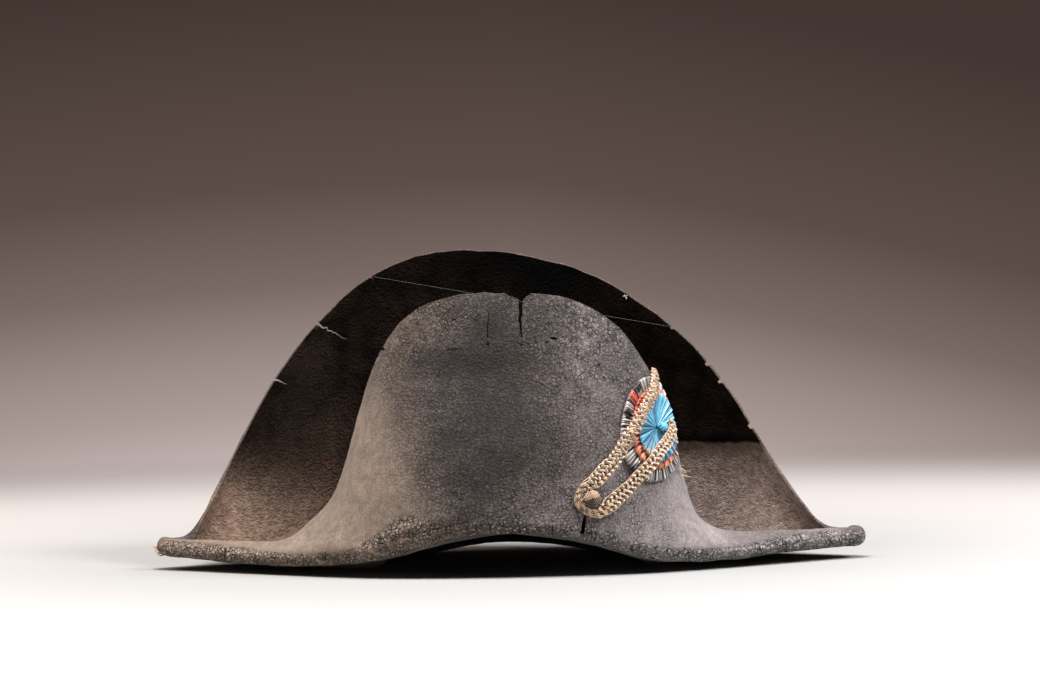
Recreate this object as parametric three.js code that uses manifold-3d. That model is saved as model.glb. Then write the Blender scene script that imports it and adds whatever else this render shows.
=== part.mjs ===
import * as THREE from "three";
import Module from "manifold-3d";

// Bicorne of black felt: round crown, brim turned up in front and behind, two low horns at the sides,
// and on the right flank of the front flap a pleated cockade with a plaited loop and a button.
// Millimetres. +X is the right of the front view, +Y points to the rear, +Z is up.

const FELT = 3; // thickness of the felt
const CROWN_HALF_WIDTH = 86; // middle of the felt at the head opening
const CROWN_HALF_DEPTH = 96;
const CROWN_TOP = 138;
const CROWN_FULLNESS = 2.7; // 2 is an ellipsoid, more is squarer at the shoulder
const HEAD_FILLET = 6.5; // bend from the crown into the brim
const STATIONS = 66; // sections round the hat
const CROWN_RINGS = 6;
const FILLET_RINGS = 3;
const FLOOR_RINGS = 3;
const FOLD_RINGS = 4;
const WALL_RINGS = 9;
const EDGE_ROUNDING = 1.1; // how far the free edge rounds out past the last ring
const CENTRE = [0, -0.9]; // middle of the whole hat in plan, moved to the origin

const GAP = 0.3; // between pieces that lie on each other

// Sections through the felt, from the left tip along the front to the right tip and back along the rear.
// head: angle round the head opening; fold_x, fold_y, fold_z: outermost line of the fold and its height;
// head_z: height of the brim at the head opening; radius, turn: bend of the fold, in degrees;
// edge_x, edge_y, edge_z: free edge of the flap; bow: how far the wall follows the fold before leaning in.
const COLUMN = {
  head: 0,
  fold_x: 1,
  fold_y: 2,
  fold_z: 3,
  head_z: 4,
  radius: 5,
  turn: 6,
  edge_x: 7,
  edge_y: 8,
  edge_z: 9,
  bow: 10,
};
const SECTIONS = [
  [180, -230, 0, 11.5, 1.2, 4.4, 100, -221, 0, 19, 0.6],
  [187, -224, -9.5, 10.4, 1.2, 4.2, 120, -216.5, -3.2, 17, 0.6],
  [193, -203, -22.5, 9, 1.6, 4, 135, -194.5, -11, 16.6, 0.6],
  [199, -172, -43, 7.5, 3, 4, 145, -163, -28, 17.6, 0.6],
  [203, -150, -57, 7, 5.5, 4.4, 150, -143, -38, 21, 0.55],
  [208, -138, -65, 7.2, 7.8, 5, 150, -126.5, -41, 33, 0.5],
  [213, -128, -72, 7.8, 9.8, 6, 146, -111, -44, 50.5, 0.45],
  [218, -119, -78, 8.4, 11.8, 7.2, 134, -101, -48, 78, 0.4],
  [225, -108, -84.5, 9.3, 14.5, 8, 118, -91, -57, 112, 0.4],
  [232, -94, -92, 10.9, 17.2, 8, 106, -79, -70.5, 140, 0.4],
  [240, -76, -100, 14.7, 20.2, 8, 98, -62, -84, 161, 0.4],
  [249, -52, -107.5, 22, 23.8, 8, 93, -41, -92, 171, 0.4],
  [260, -26, -112.5, 27.8, 26.8, 8, 90, -20, -97, 174.3, 0.4],
  [270, 0, -114, 28.8, 28.5, 8, 90, 4, -99, 174, 0.4],
  [280, 26, -112.5, 27, 26.8, 8, 90, 28, -97, 172.5, 0.4],
  [291, 52, -107.5, 22.4, 23.8, 8, 91, 50, -90.5, 165.5, 0.4],
  [300, 76, -100, 13.8, 20.2, 8, 94, 69, -81, 152, 0.4],
  [308, 94, -92, 8.6, 17.2, 8, 97, 84, -69, 132, 0.4],
  [315, 108, -84.5, 7.3, 14.5, 7.8, 104, 94.5, -59, 108.5, 0.4],
  [322, 119, -78, 6.5, 11.8, 7.2, 121, 103.5, -49.5, 79, 0.4],
  [327, 128, -72, 6.4, 9.8, 6, 142, 109.8, -45, 45.5, 0.45],
  [332, 138, -65, 6.5, 7.8, 5, 150, 121.5, -41, 27.5, 0.5],
  [337, 150, -57, 6.6, 5.5, 4.4, 150, 138, -38, 20.8, 0.55],
  [341, 172, -43, 8.2, 3, 4.2, 145, 165, -29, 19.2, 0.6],
  [347, 203, -22.5, 9, 1.6, 4.2, 135, 194.5, -13, 16.8, 0.6],
  [353, 224, -9.5, 9.2, 1.2, 4.6, 115, 216, -4, 17.2, 0.6],
  [360, 230, 0, 9.2, 1.2, 5, 95, 222, 0, 19.8, 0.6],
  [367, 224, 9.5, 8.6, 1.2, 4.8, 92, 214.5, 5.5, 16.4, 0.6],
  [373, 206, 21.5, 6, 1.2, 5.5, 80, 199.5, 13, 25.5, 0.5],
  [379, 178, 39, 3, 1.2, 6.5, 72, 172, 34, 67.5, 0.45],
  [385, 154, 55, 1.4, 1.2, 7.5, 68, 149, 50, 107.5, 0.4],
  [394, 128, 71, 0.9, 1.2, 8, 70, 124, 63, 141, 0.4],
  [407, 100, 87, 1.2, 1.6, 8, 76, 95, 73, 167, 0.4],
  [420, 70, 99, 3.2, 3.4, 8, 84, 63, 80, 187.5, 0.4],
  [435, 36, 109, 6.4, 6.4, 8, 90, 30, 85, 200, 0.4],
  [450, 0, 113, 7.5, 7.5, 8, 90, -5, 88, 207, 0.4],
  [465, -36, 109, 6.4, 6.4, 8, 90, -42, 87, 208.2, 0.4],
  [480, -70, 99, 3.2, 3.4, 8, 84, -78, 82, 200, 0.4],
  [493, -100, 87, 1.2, 1.6, 8, 76, -107, 74, 182, 0.4],
  [506, -128, 71, 0.9, 1.2, 8, 70, -134, 65, 155, 0.4],
  [515, -154, 55, 1.4, 1.2, 7.5, 68, -155, 54, 127, 0.4],
  [521, -178, 39, 3, 1.2, 6.5, 72, -175, 40, 91.5, 0.45],
  [527, -206, 21.5, 6.4, 1.2, 5.5, 80, -200.5, 13.5, 38, 0.5],
  [533, -224, 9.5, 9.3, 1.2, 5, 92, -212, 6.5, 15.8, 0.6],
];

// Where the crown, its fillet, the brim's floor and the fold end along a section that runs from 0 to 1.
const CROWN_END = 0.34;
const FILLET_END = 0.4;
const FLOOR_END = 0.52;
const FOLD_END = 0.62;

// Soft dents of the flaps: side (-1 front, 1 rear), middle, half widths, and depth into the flap.
const DENTS = [
  { side: -1, x: -10, z: 122, wide: 62, high: 15, deep: 2.2 },
  { side: -1, x: 8, z: 82, wide: 55, high: 18, deep: -1.8 },
  { side: -1, x: 58, z: 132, wide: 16, high: 20, deep: 1.6 },
  { side: -1, x: -62, z: 60, wide: 24, high: 26, deep: -1.6 },
  { side: 1, x: -118, z: 96, wide: 26, high: 30, deep: -2.6 },
  { side: 1, x: -60, z: 150, wide: 34, high: 30, deep: 2 },
  { side: 1, x: 84, z: 110, wide: 34, high: 34, deep: -2.4 },
];

// A crease across the right of the rear flap: above it the felt leans forward.
const CREASE_Z = 74;
const CREASE_HALF_HIGH = 5;
const CREASE_DEEP = 7;
const CREASE_FROM_X = 82;
const CREASE_FULL_X = 104;

// Tears open to the edge, seen from the front: height, middle and half width of the slit.
const TOP_TEAR = [
  [182, 8.5, 10],
  [178, 8.5, 9],
  [174, 8.6, 6.5],
  [172.4, 8.8, 3],
  [170, 9, 1],
  [165, 8.6, 1.1],
  [158, 8.2, 0.9],
  [147, 8.8, 0.5],
];
const ARCH_TEAR = [
  [41, 46.4, 0.8],
  [33, 45, 1.2],
  [26, 43.4, 1.4],
  [10, 42.4, 1.5],
];

function rowValue(column, row) {
  const round = Math.floor(row / SECTIONS.length);
  const value = SECTIONS[row - round * SECTIONS.length][column];
  return column === COLUMN.head ? value + 360 * round : value;
}

// Smooth closed curve through one column of the table.
function along(column, station) {
  const row = Math.floor(station);
  const f = station - row;
  const a = rowValue(column, row - 1);
  const b = rowValue(column, row);
  const c = rowValue(column, row + 1);
  const d = rowValue(column, row + 2);
  const square = (2 * a - 5 * b + 4 * c - d) * f * f;
  const cube = (3 * b - a - 3 * c + d) * f * f * f;
  return 0.5 * (2 * b + (c - a) * f + square + cube);
}

function foldNormal(station) {
  const step = 1e-3;
  const dx = along(COLUMN.fold_x, station + step) - along(COLUMN.fold_x, station - step);
  const dy = along(COLUMN.fold_y, station + step) - along(COLUMN.fold_y, station - step);
  return new THREE.Vector3(dy, -dx, 0).normalize();
}

function dentAt(x, y, z) {
  let depth = 0;
  for (const dent of DENTS) {
    if (dent.side * y > 0) {
      const across = (x - dent.x) / dent.wide;
      const up = (z - dent.z) / dent.high;
      depth += dent.deep * Math.exp(-across * across - up * up);
    }
  }
  return depth;
}

// How far the felt of the rear flap stands forward above the crease.
function creaseAt(x, y, z) {
  if (y < 0) {
    return 0;
  }
  const above = THREE.MathUtils.smoothstep(z, CREASE_Z - CREASE_HALF_HIGH, CREASE_Z + CREASE_HALF_HIGH);
  return CREASE_DEEP * above * THREE.MathUtils.smoothstep(x, CREASE_FROM_X, CREASE_FULL_X);
}

// Middle of the felt: station counts rows round the hat, v runs from the crown's top to the free edge.
function feltPoint(station, v) {
  const value = (name) => along(COLUMN[name], station);
  const head = THREE.MathUtils.degToRad(value("head"));
  const headZ = value("head_z");
  const hx = CROWN_HALF_WIDTH * Math.cos(head);
  const hy = CROWN_HALF_DEPTH * Math.sin(head);
  if (v <= CROWN_END) {
    const q = (1 - v / CROWN_END) * (Math.PI / 2);
    const shrink = Math.max(Math.cos(q), 0) ** (2 / CROWN_FULLNESS);
    const rise = Math.sin(q) ** (2 / CROWN_FULLNESS);
    const start = headZ + HEAD_FILLET;
    return new THREE.Vector3(hx * shrink, hy * shrink, start + (CROWN_TOP - start) * rise);
  }
  const headOut = new THREE.Vector3(
    Math.cos(head) / CROWN_HALF_WIDTH,
    Math.sin(head) / CROWN_HALF_DEPTH,
    0,
  ).normalize();
  if (v <= FILLET_END) {
    const g = ((v - CROWN_END) / (FILLET_END - CROWN_END)) * (Math.PI / 2);
    const out = HEAD_FILLET * (1 - Math.cos(g));
    const up = HEAD_FILLET * (1 - Math.sin(g));
    return new THREE.Vector3(hx + headOut.x * out, hy + headOut.y * out, headZ + up);
  }
  const normal = foldNormal(station);
  const foldX = value("fold_x");
  const foldY = value("fold_y");
  const foldZ = value("fold_z");
  const radius = value("radius");
  const inner = new THREE.Vector3(foldX - normal.x * radius, foldY - normal.y * radius, foldZ);
  if (v <= FLOOR_END) {
    const w = (v - FILLET_END) / (FLOOR_END - FILLET_END);
    const level = w * w * (3 - 2 * w);
    const sx = hx + headOut.x * HEAD_FILLET;
    const sy = hy + headOut.y * HEAD_FILLET;
    return new THREE.Vector3(
      sx + (inner.x - sx) * w,
      sy + (inner.y - sy) * w,
      headZ + (foldZ - headZ) * level,
    );
  }
  const turn = THREE.MathUtils.degToRad(value("turn"));
  const bend = Math.min((v - FLOOR_END) / (FOLD_END - FLOOR_END), 1) * turn;
  const up = new THREE.Vector3(0, 0, 1);
  const base = inner.clone();
  base.addScaledVector(normal, radius * Math.sin(bend));
  base.addScaledVector(up, radius * (1 - Math.cos(bend)));
  if (v <= FOLD_END) {
    return base;
  }
  const w = (v - FOLD_END) / (1 - FOLD_END);
  const edge = new THREE.Vector3(value("edge_x"), value("edge_y"), value("edge_z"));
  const reach = edge.distanceTo(base) * value("bow");
  const guide = base.clone();
  guide.addScaledVector(normal, Math.cos(turn) * reach);
  guide.addScaledVector(up, Math.sin(turn) * reach);
  const t = Math.min(w, 1);
  const point = base.clone().multiplyScalar((1 - t) * (1 - t));
  point.addScaledVector(guide, 2 * t * (1 - t));
  point.addScaledVector(edge, t * t);
  point.addScaledVector(edge.clone().sub(guide), 2 * Math.max(w - 1, 0));
  point.addScaledVector(normal, -dentAt(point.x, point.y, point.z));
  point.y -= creaseAt(point.x, point.y, point.z);
  return point;
}

// Unit normal on the side of the head, the underside and the outer faces of the flaps.
function feltNormal(station, v) {
  const round = feltPoint(station + 1e-3, v).sub(feltPoint(station - 1e-3, v));
  const down = feltPoint(station, v + 1e-4).sub(feltPoint(station, v - 1e-4));
  return round.cross(down).normalize();
}

function geometryOf(points, faces) {
  const geometry = new THREE.BufferGeometry();
  const flat = points.flatMap((p) => [p.x, p.y, p.z]);
  geometry.setAttribute("position", new THREE.Float32BufferAttribute(flat, 3));
  geometry.setIndex(faces.flat());
  return geometry;
}

// A face with four corners, as two triangles.
function quad(faces, a, b, c, d) {
  faces.push([a, b, c], [a, c, d]);
}

function sectionSteps() {
  const steps = [];
  const spread = [
    [0, CROWN_END, CROWN_RINGS],
    [CROWN_END, FILLET_END, FILLET_RINGS],
    [FILLET_END, FLOOR_END, FLOOR_RINGS],
    [FLOOR_END, FOLD_END, FOLD_RINGS],
    [FOLD_END, 1, WALL_RINGS],
  ];
  for (const [from, to, count] of spread) {
    for (let k = 1; k <= count; k++) {
      steps.push(from + ((to - from) * k) / count);
    }
  }
  return steps;
}

function feltGeometry() {
  const steps = sectionSteps();
  const points = [];
  const faces = [];
  const rings = steps.length;
  const sheet = (side) => {
    const first = points.length;
    for (const v of steps) {
      for (let i = 0; i < STATIONS; i++) {
        const station = (i * SECTIONS.length) / STATIONS;
        const point = feltPoint(station, v);
        point.addScaledVector(feltNormal(station, v), (side * FELT) / 2);
        point.z = Math.max(point.z, 0);
        points.push(point);
      }
    }
    points.push(new THREE.Vector3(0, 0, CROWN_TOP - (side * FELT) / 2));
    const pole = points.length - 1;
    for (let i = 0; i < STATIONS; i++) {
      const next = (i + 1) % STATIONS;
      faces.push(side > 0 ? [pole, first + next, first + i] : [pole, first + i, first + next]);
      for (let j = 0; j + 1 < rings; j++) {
        const low = first + j * STATIONS;
        const high = low + STATIONS;
        if (side > 0) {
          quad(faces, low + i, low + next, high + next, high + i);
        } else {
          quad(faces, low + i, high + i, high + next, low + next);
        }
      }
    }
    return first + (rings - 1) * STATIONS;
  };
  const outer = sheet(1);
  const inner = sheet(-1);
  const rim = points.length;
  for (let i = 0; i < STATIONS; i++) {
    const station = (i * SECTIONS.length) / STATIONS;
    const edge = feltPoint(station, 1);
    const out = edge.clone().sub(feltPoint(station, 0.999)).normalize();
    points.push(edge.addScaledVector(out, EDGE_ROUNDING));
  }
  for (let i = 0; i < STATIONS; i++) {
    const next = (i + 1) % STATIONS;
    quad(faces, outer + i, outer + next, rim + next, rim + i);
    quad(faces, rim + i, rim + next, inner + next, inner + i);
  }
  return geometryOf(points, faces);
}

// A slit cut through the front flap from y = near to y = far.
function tearGeometry(rows, near, far) {
  const outline = new THREE.Shape();
  rows.forEach(([z, middle, half], k) => {
    if (k === 0) {
      outline.moveTo(middle - half, z);
    } else {
      outline.lineTo(middle - half, z);
    }
  });
  [...rows].reverse().forEach(([z, middle, half]) => outline.lineTo(middle + half, z));
  const slab = new THREE.ExtrudeGeometry(outline, { depth: far - near, bevelEnabled: false });
  slab.rotateX(Math.PI / 2);
  slab.translate(0, far, 0);
  return slab;
}

const wasm = await Module();
wasm.setup();

function solidOf(geometry) {
  const position = geometry.getAttribute("position");
  const index = new Map();
  const places = [];
  const seen = [];
  for (let i = 0; i < position.count; i++) {
    const p = [position.getX(i), position.getY(i), position.getZ(i)];
    const key = p.map((c) => Math.round(c * 1e4)).join(" ");
    if (!index.has(key)) {
      index.set(key, places.length / 3);
      places.push(...p);
    }
    seen.push(index.get(key));
  }
  const corners = geometry.index ? [...geometry.index.array] : seen.map((_, i) => i);
  const triVerts = new Uint32Array(corners.map((i) => seen[i]));
  const vertProperties = new Float32Array(places);
  return new wasm.Manifold(new wasm.Mesh({ numProp: 3, vertProperties, triVerts }));
}

function geometryFrom(solid) {
  const mesh = solid.getMesh();
  const geometry = new THREE.BufferGeometry();
  geometry.setAttribute("position", new THREE.BufferAttribute(mesh.vertProperties, 3));
  geometry.setIndex(new THREE.BufferAttribute(mesh.triVerts, 1));
  return geometry;
}

function tornFelt() {
  const whole = solidOf(feltGeometry());
  const top = solidOf(tearGeometry(TOP_TEAR, -130, -80));
  const arch = solidOf(tearGeometry(ARCH_TEAR, -130, -104));
  return geometryFrom(whole.subtract(top).subtract(arch));
}

// The cockade's own frame on the front flap: a to the right along the felt, b up, d out from the felt.
const HUB_STATION = 17;
const HUB_V = 0.872;
const hubOut = feltNormal(HUB_STATION, HUB_V);
const hub = feltPoint(HUB_STATION, HUB_V).addScaledVector(hubOut, FELT / 2);
const hubUp = new THREE.Vector3(0, 0, 1).addScaledVector(hubOut, -hubOut.z).normalize();
const hubRight = hubUp.clone().cross(hubOut);

function onFlap(a, b, d) {
  const point = hub.clone();
  point.addScaledVector(hubRight, a);
  point.addScaledVector(hubUp, b);
  point.addScaledVector(hubOut, d);
  return point;
}

// The cockade bends round the flank of the flap and twists with it.
const COCKADE_LIFT = 0.9;
const COCKADE_MIDDLE = 3;
const COCKADE_SHIFT = -1; // its centre lies this far from the hub of its frame, to the right
const COCKADE_NARROW = 0.75; // width against height
const COCKADE_TURN = THREE.MathUtils.degToRad(-25); // lean of its narrow way
const COCKADE_BEND_LEFT = 116;
const COCKADE_BEND_RIGHT = 48;
const COCKADE_TWIST = 0.0025;
const PLEATS = 24;
const PLEAT_CREST = 0.3; // where the crest of a pleat lies in its step

function cockadeBase(a, b) {
  const off = a - COCKADE_MIDDLE;
  const bend = off < 0 ? COCKADE_BEND_LEFT : COCKADE_BEND_RIGHT;
  return COCKADE_LIFT - (off * off) / (2 * bend) - COCKADE_TWIST * a * b;
}

// A pleated ring. Each row: radius, height of its underside, cloth thickness, height of the pleats.
const RINGS = {
  cockade_white: [
    [22, 0, 1.4, 0.9],
    [28, 0, 1.4, 0.9],
    [34.5, 0, 1.3, 0.9],
  ],
  cockade_red: [
    [15.5, 1, 1, 0.8],
    [21.7, 2.7, 1, 0.8],
    [26.8, 2.7, 1, 0.8],
  ],
  cockade_blue: [
    [1.2, 1.6, 1.2, 0.2],
    [8, 2.3, 1.1, 0.6],
    [15.2, 3.2, 1, 0.9],
    [20.5, 4.65, 1, 0.9],
    [22.5, 5.05, 1, 0.8],
  ],
};

function pleatedRing(rows) {
  const points = [];
  const faces = [];
  const round = PLEATS * 2;
  const ring = (row, top) => {
    const [radius, under, thick, pleat] = row;
    const first = points.length;
    for (let i = 0; i < round; i++) {
      const step = Math.floor(i / 2) + (i % 2) * PLEAT_CREST;
      const angle = (2 * Math.PI * step) / PLEATS;
      const across = COCKADE_NARROW * radius * Math.cos(angle);
      const upward = radius * Math.sin(angle);
      const a = COCKADE_SHIFT + across * Math.cos(COCKADE_TURN) - upward * Math.sin(COCKADE_TURN);
      const b = across * Math.sin(COCKADE_TURN) + upward * Math.cos(COCKADE_TURN);
      const height = under + (top ? thick + (i % 2) * pleat : 0);
      points.push(onFlap(a, b, cockadeBase(a, b) + height));
    }
    return first;
  };
  const loop = [
    ...rows.map((row) => ring(row, true)),
    ...[...rows].reverse().map((row) => ring(row, false)),
  ];
  loop.forEach((low, k) => {
    const high = loop[(k + 1) % loop.length];
    for (let i = 0; i < round; i++) {
      const next = (i + 1) % round;
      quad(faces, low + i, high + i, high + next, low + next);
    }
  });
  return geometryOf(points, faces);
}

// A small ridged dome standing on a flat foot. Each row: radius and height.
function ridgedDome(place, foot, out, rows, ridges, ridge) {
  const points = [];
  const faces = [];
  const round = ridges * 2;
  const up = new THREE.Vector3(0, 0, 1).addScaledVector(out, -out.z).normalize();
  const right = up.clone().cross(out);
  const at = (x, y, z) => {
    const point = place.clone();
    point.addScaledVector(right, x);
    point.addScaledVector(up, y);
    return point.addScaledVector(out, foot + z);
  };
  rows.forEach(([radius, height]) => {
    for (let i = 0; i < round; i++) {
      const angle = (2 * Math.PI * i) / round;
      const r = radius * (1 + (i % 2 ? ridge : -ridge));
      points.push(at(r * Math.cos(angle), r * Math.sin(angle), height));
    }
  });
  const bottom = points.push(at(0, 0, rows[0][1])) - 1;
  const last = rows.length - 1;
  const top = points.push(at(0, 0, rows[last][1] + 0.3)) - 1;
  for (let i = 0; i < round; i++) {
    const next = (i + 1) % round;
    faces.push([bottom, next, i]);
    faces.push([top, last * round + i, last * round + next]);
    for (let k = 0; k < last; k++) {
      const low = k * round;
      quad(faces, low + i, low + next, low + round + next, low + round + i);
    }
  }
  return geometryOf(points, faces);
}

const KNOT_ROWS = [
  [1.9, 0],
  [2.7, 1],
  [2.6, 2.6],
  [1.7, 3.8],
];
const KNOT_FOOT = 4.95;
const KNOT_A = 2.1;
const KNOT_B = -0.2;
const KNOT_RIDGES = 6;
const BUTTON_STATION = 14.877;
const BUTTON_V = 0.676;
const BUTTON_ROWS = [
  [5, 0],
  [5.7, 1.2],
  [5.5, 2.6],
  [4.4, 4],
  [2.5, 5],
];
const BUTTON_RIDGES = 12;

// The loop from the upper end of its left run, down round the button, to the upper end of its right run.
// a, b, d: middle of its underside in the cockade's frame; wide, thick: size; plait: depth of the plaiting.
const LOOP = [
  { a: 5.9, b: 36, d: 2.6, wide: 5, thick: 3, plait: 1 },
  { a: 1.6, b: 29.5, d: 5.1, wide: 7.4, thick: 3.3, plait: 1 },
  { a: -5.5, b: 22.3, d: 7.9, wide: 7.6, thick: 3.4, plait: 1 },
  { a: -10.8, b: 16, d: 7.85, wide: 7.8, thick: 3.4, plait: 1 },
  { a: -17.2, b: 10.6, d: 7.1, wide: 8, thick: 3.4, plait: 1 },
  { a: -21, b: 5.3, d: 5.9, wide: 8, thick: 3.4, plait: 1 },
  { a: -25.5, b: -0.6, d: 3.4, wide: 8.2, thick: 3.4, plait: 1 },
  { a: -29.6, b: -6.4, d: -0.2, wide: 8.6, thick: 3.4, plait: 1 },
  { a: -34.7, b: -15.4, d: -5.8, wide: 9, thick: 3.4, plait: 1 },
  { a: -41.4, b: -22.2, d: -11.2, wide: 9.6, thick: 3.4, plait: 1 },
  { a: -47.1, b: -27.5, d: -15.4, wide: 9, thick: 3.2, plait: 0.9 },
  { a: -52.2, b: -29.2, d: -19.2, wide: 4.8, thick: 2.8, plait: 0.4 },
  { a: -54.6, b: -32.7, d: -21.9, wide: 3, thick: 2.4, plait: 0 },
  { a: -56.3, b: -37.7, d: -23.4, wide: 3.6, thick: 2.6, plait: 0 },
  { a: -53.8, b: -42.9, d: -22.4, wide: 3, thick: 2.4, plait: 0 },
  { a: -48.7, b: -46.6, d: -20.2, wide: 3.4, thick: 2.4, plait: 0 },
  { a: -43.7, b: -46.3, d: -16.7, wide: 6, thick: 2.8, plait: 0.5 },
  { a: -39.2, b: -42.9, d: -13.3, wide: 9.6, thick: 3.2, plait: 0.9 },
  { a: -33.2, b: -38.4, d: -9.6, wide: 8.8, thick: 3.4, plait: 1 },
  { a: -28, b: -34.2, d: -5.2, wide: 8, thick: 3.4, plait: 1 },
  { a: -23.4, b: -29.1, d: -0.7, wide: 8, thick: 3.4, plait: 1 },
  { a: -16, b: -22.6, d: 5, wide: 8, thick: 3.4, plait: 1 },
  { a: -8.8, b: -15.7, d: 7.35, wide: 8, thick: 3.4, plait: 1 },
  { a: 2.2, b: -8.7, d: 6.7, wide: 7.6, thick: 3.4, plait: 1 },
  { a: 8.5, b: -3.1, d: 6.2, wide: 6.5, thick: 3.2, plait: 1 },
  { a: 9.6, b: 3.6, d: 6.1, wide: 4, thick: 3, plait: 1 },
];
const LOOP_BEND = 13; // row at the middle of the bend round the button
const LOOP_STATIONS = 100;
const LOOP_PITCH = 6; // one crossing of the plait
const LOOP_SCALLOP = 0.08;
const LOOP_BUMP = 0.16;
// Outline across the loop: share of the half width, share of the thickness, and which bump it follows.
const LOOP_OUTLINE = [
  [-0.75, 0, 0],
  [0.75, 0, 0],
  [1, 0.45, 0],
  [0.6, 0.95, 1],
  [-0.6, 0.95, -1],
  [-1, 0.45, 0],
];

function loopGeometry(buttonOut) {
  const path = new THREE.CatmullRomCurve3(LOOP.map((row) => onFlap(row.a, row.b, row.d)));
  const points = [];
  const faces = [];
  const around = LOOP_OUTLINE.length;
  let run = 0;
  let before = null;
  for (let i = 0; i <= LOOP_STATIONS; i++) {
    const t = i / LOOP_STATIONS;
    const place = path.getPoint(t);
    run += before ? place.distanceTo(before) : 0;
    before = place;
    const row = t * (LOOP.length - 1);
    const low = Math.min(Math.floor(row), LOOP.length - 2);
    const mix = (name) => THREE.MathUtils.lerp(LOOP[low][name], LOOP[low + 1][name], row - low);
    const near = Math.max(0, 1 - Math.abs(row - LOOP_BEND) / (LOOP_BEND - 2));
    const out = hubOut.clone().lerp(buttonOut, Math.min(1, 1.4 * near)).normalize();
    const forward = path.getTangent(t);
    const side = forward.clone().cross(out).normalize();
    const lift = side.clone().cross(forward);
    const wave = (2 * Math.PI * run) / LOOP_PITCH;
    const plait = mix("plait");
    const half = (mix("wide") / 2) * (1 + LOOP_SCALLOP * plait * Math.cos(2 * wave));
    for (const [across, up, bump] of LOOP_OUTLINE) {
      const height = mix("thick") * up * (1 + LOOP_BUMP * plait * bump * Math.cos(wave));
      const point = place.clone();
      point.addScaledVector(side, half * across);
      points.push(point.addScaledVector(lift, height));
    }
  }
  for (let i = 0; i < LOOP_STATIONS; i++) {
    for (let k = 0; k < around; k++) {
      const next = (k + 1) % around;
      const low = i * around;
      quad(faces, low + k, low + around + k, low + around + next, low + next);
    }
  }
  const end = LOOP_STATIONS * around;
  for (let k = 1; k + 1 < around; k++) {
    faces.push([0, k, k + 1]);
    faces.push([end, end + k + 1, end + k]);
  }
  return geometryOf(points, faces);
}

const hat = new THREE.Group();

function addPiece(name, geometry, color, roughness) {
  const material = new THREE.MeshStandardMaterial({ color, roughness, metalness: 0 });
  material.name = name;
  geometry.computeVertexNormals();
  const mesh = new THREE.Mesh(geometry, material);
  mesh.name = name;
  mesh.position.set(-CENTRE[0], -CENTRE[1], 0);
  hat.add(mesh);
}

const buttonOut = feltNormal(BUTTON_STATION, BUTTON_V);
const buttonPlace = feltPoint(BUTTON_STATION, BUTTON_V);

addPiece("felt_body", tornFelt(), 0x4a4541, 0.95);
addPiece("cockade_white", pleatedRing(RINGS.cockade_white), 0xb4aea6, 0.8);
addPiece("cockade_red", pleatedRing(RINGS.cockade_red), 0xc0644a, 0.8);
addPiece("cockade_blue", pleatedRing(RINGS.cockade_blue), 0x3a86b4, 0.7);
const knotPlace = onFlap(KNOT_A, KNOT_B, 0);
const knotDome = ridgedDome(knotPlace, KNOT_FOOT, hubOut, KNOT_ROWS, KNOT_RIDGES, 0.05);
addPiece("cockade_knot", knotDome, 0x2c6d9a, 0.7);
addPiece("loop_braid", loopGeometry(buttonOut), 0x8d755a, 0.85);
addPiece(
  "button",
  ridgedDome(buttonPlace, FELT / 2 + GAP, buttonOut, BUTTON_ROWS, BUTTON_RIDGES, 0.03),
  0x7b6650,
  0.85,
);

export default hat;
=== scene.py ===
import math
import random

import bmesh
import bpy
import numpy as np
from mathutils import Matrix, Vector, kdtree, noise


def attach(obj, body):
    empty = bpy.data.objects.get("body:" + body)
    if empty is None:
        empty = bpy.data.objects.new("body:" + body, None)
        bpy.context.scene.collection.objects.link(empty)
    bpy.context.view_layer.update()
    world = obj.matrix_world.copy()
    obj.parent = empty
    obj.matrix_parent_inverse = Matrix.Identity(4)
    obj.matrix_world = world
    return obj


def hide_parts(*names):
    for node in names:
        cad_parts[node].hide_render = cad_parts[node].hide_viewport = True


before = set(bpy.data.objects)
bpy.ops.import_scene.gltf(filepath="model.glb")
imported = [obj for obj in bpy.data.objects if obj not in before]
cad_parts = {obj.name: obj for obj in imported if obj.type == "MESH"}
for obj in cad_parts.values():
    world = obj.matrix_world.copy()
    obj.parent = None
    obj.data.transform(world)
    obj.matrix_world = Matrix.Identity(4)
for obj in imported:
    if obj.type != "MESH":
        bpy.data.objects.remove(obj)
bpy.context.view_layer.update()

# A worn felt bicorne with a pleated cockade, a plaited loop and a button.
# Millimetres in the part's own frame. The felt, the rings and the loop repeat the part's source.

MM = 0.001
PLACE = np.array([0.0, 0.9, 0.0])  # moves the hat's middle in plan to the origin
UP = np.array([0.0, 0.0, 1.0])

FELT = 3.0
CROWN_HALF_WIDTH = 86.0
CROWN_HALF_DEPTH = 96.0
CROWN_TOP = 138.0
CROWN_FULLNESS = 2.7
HEAD_FILLET = 6.5
EDGE_ROUNDING = 0.9
GAP = 0.3

# Where the crown, its fillet, the brim's floor and the fold end along a section that runs from 0 to 1.
CROWN_END = 0.34
FILLET_END = 0.40
FLOOR_END = 0.52
FOLD_END = 0.62

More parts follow.
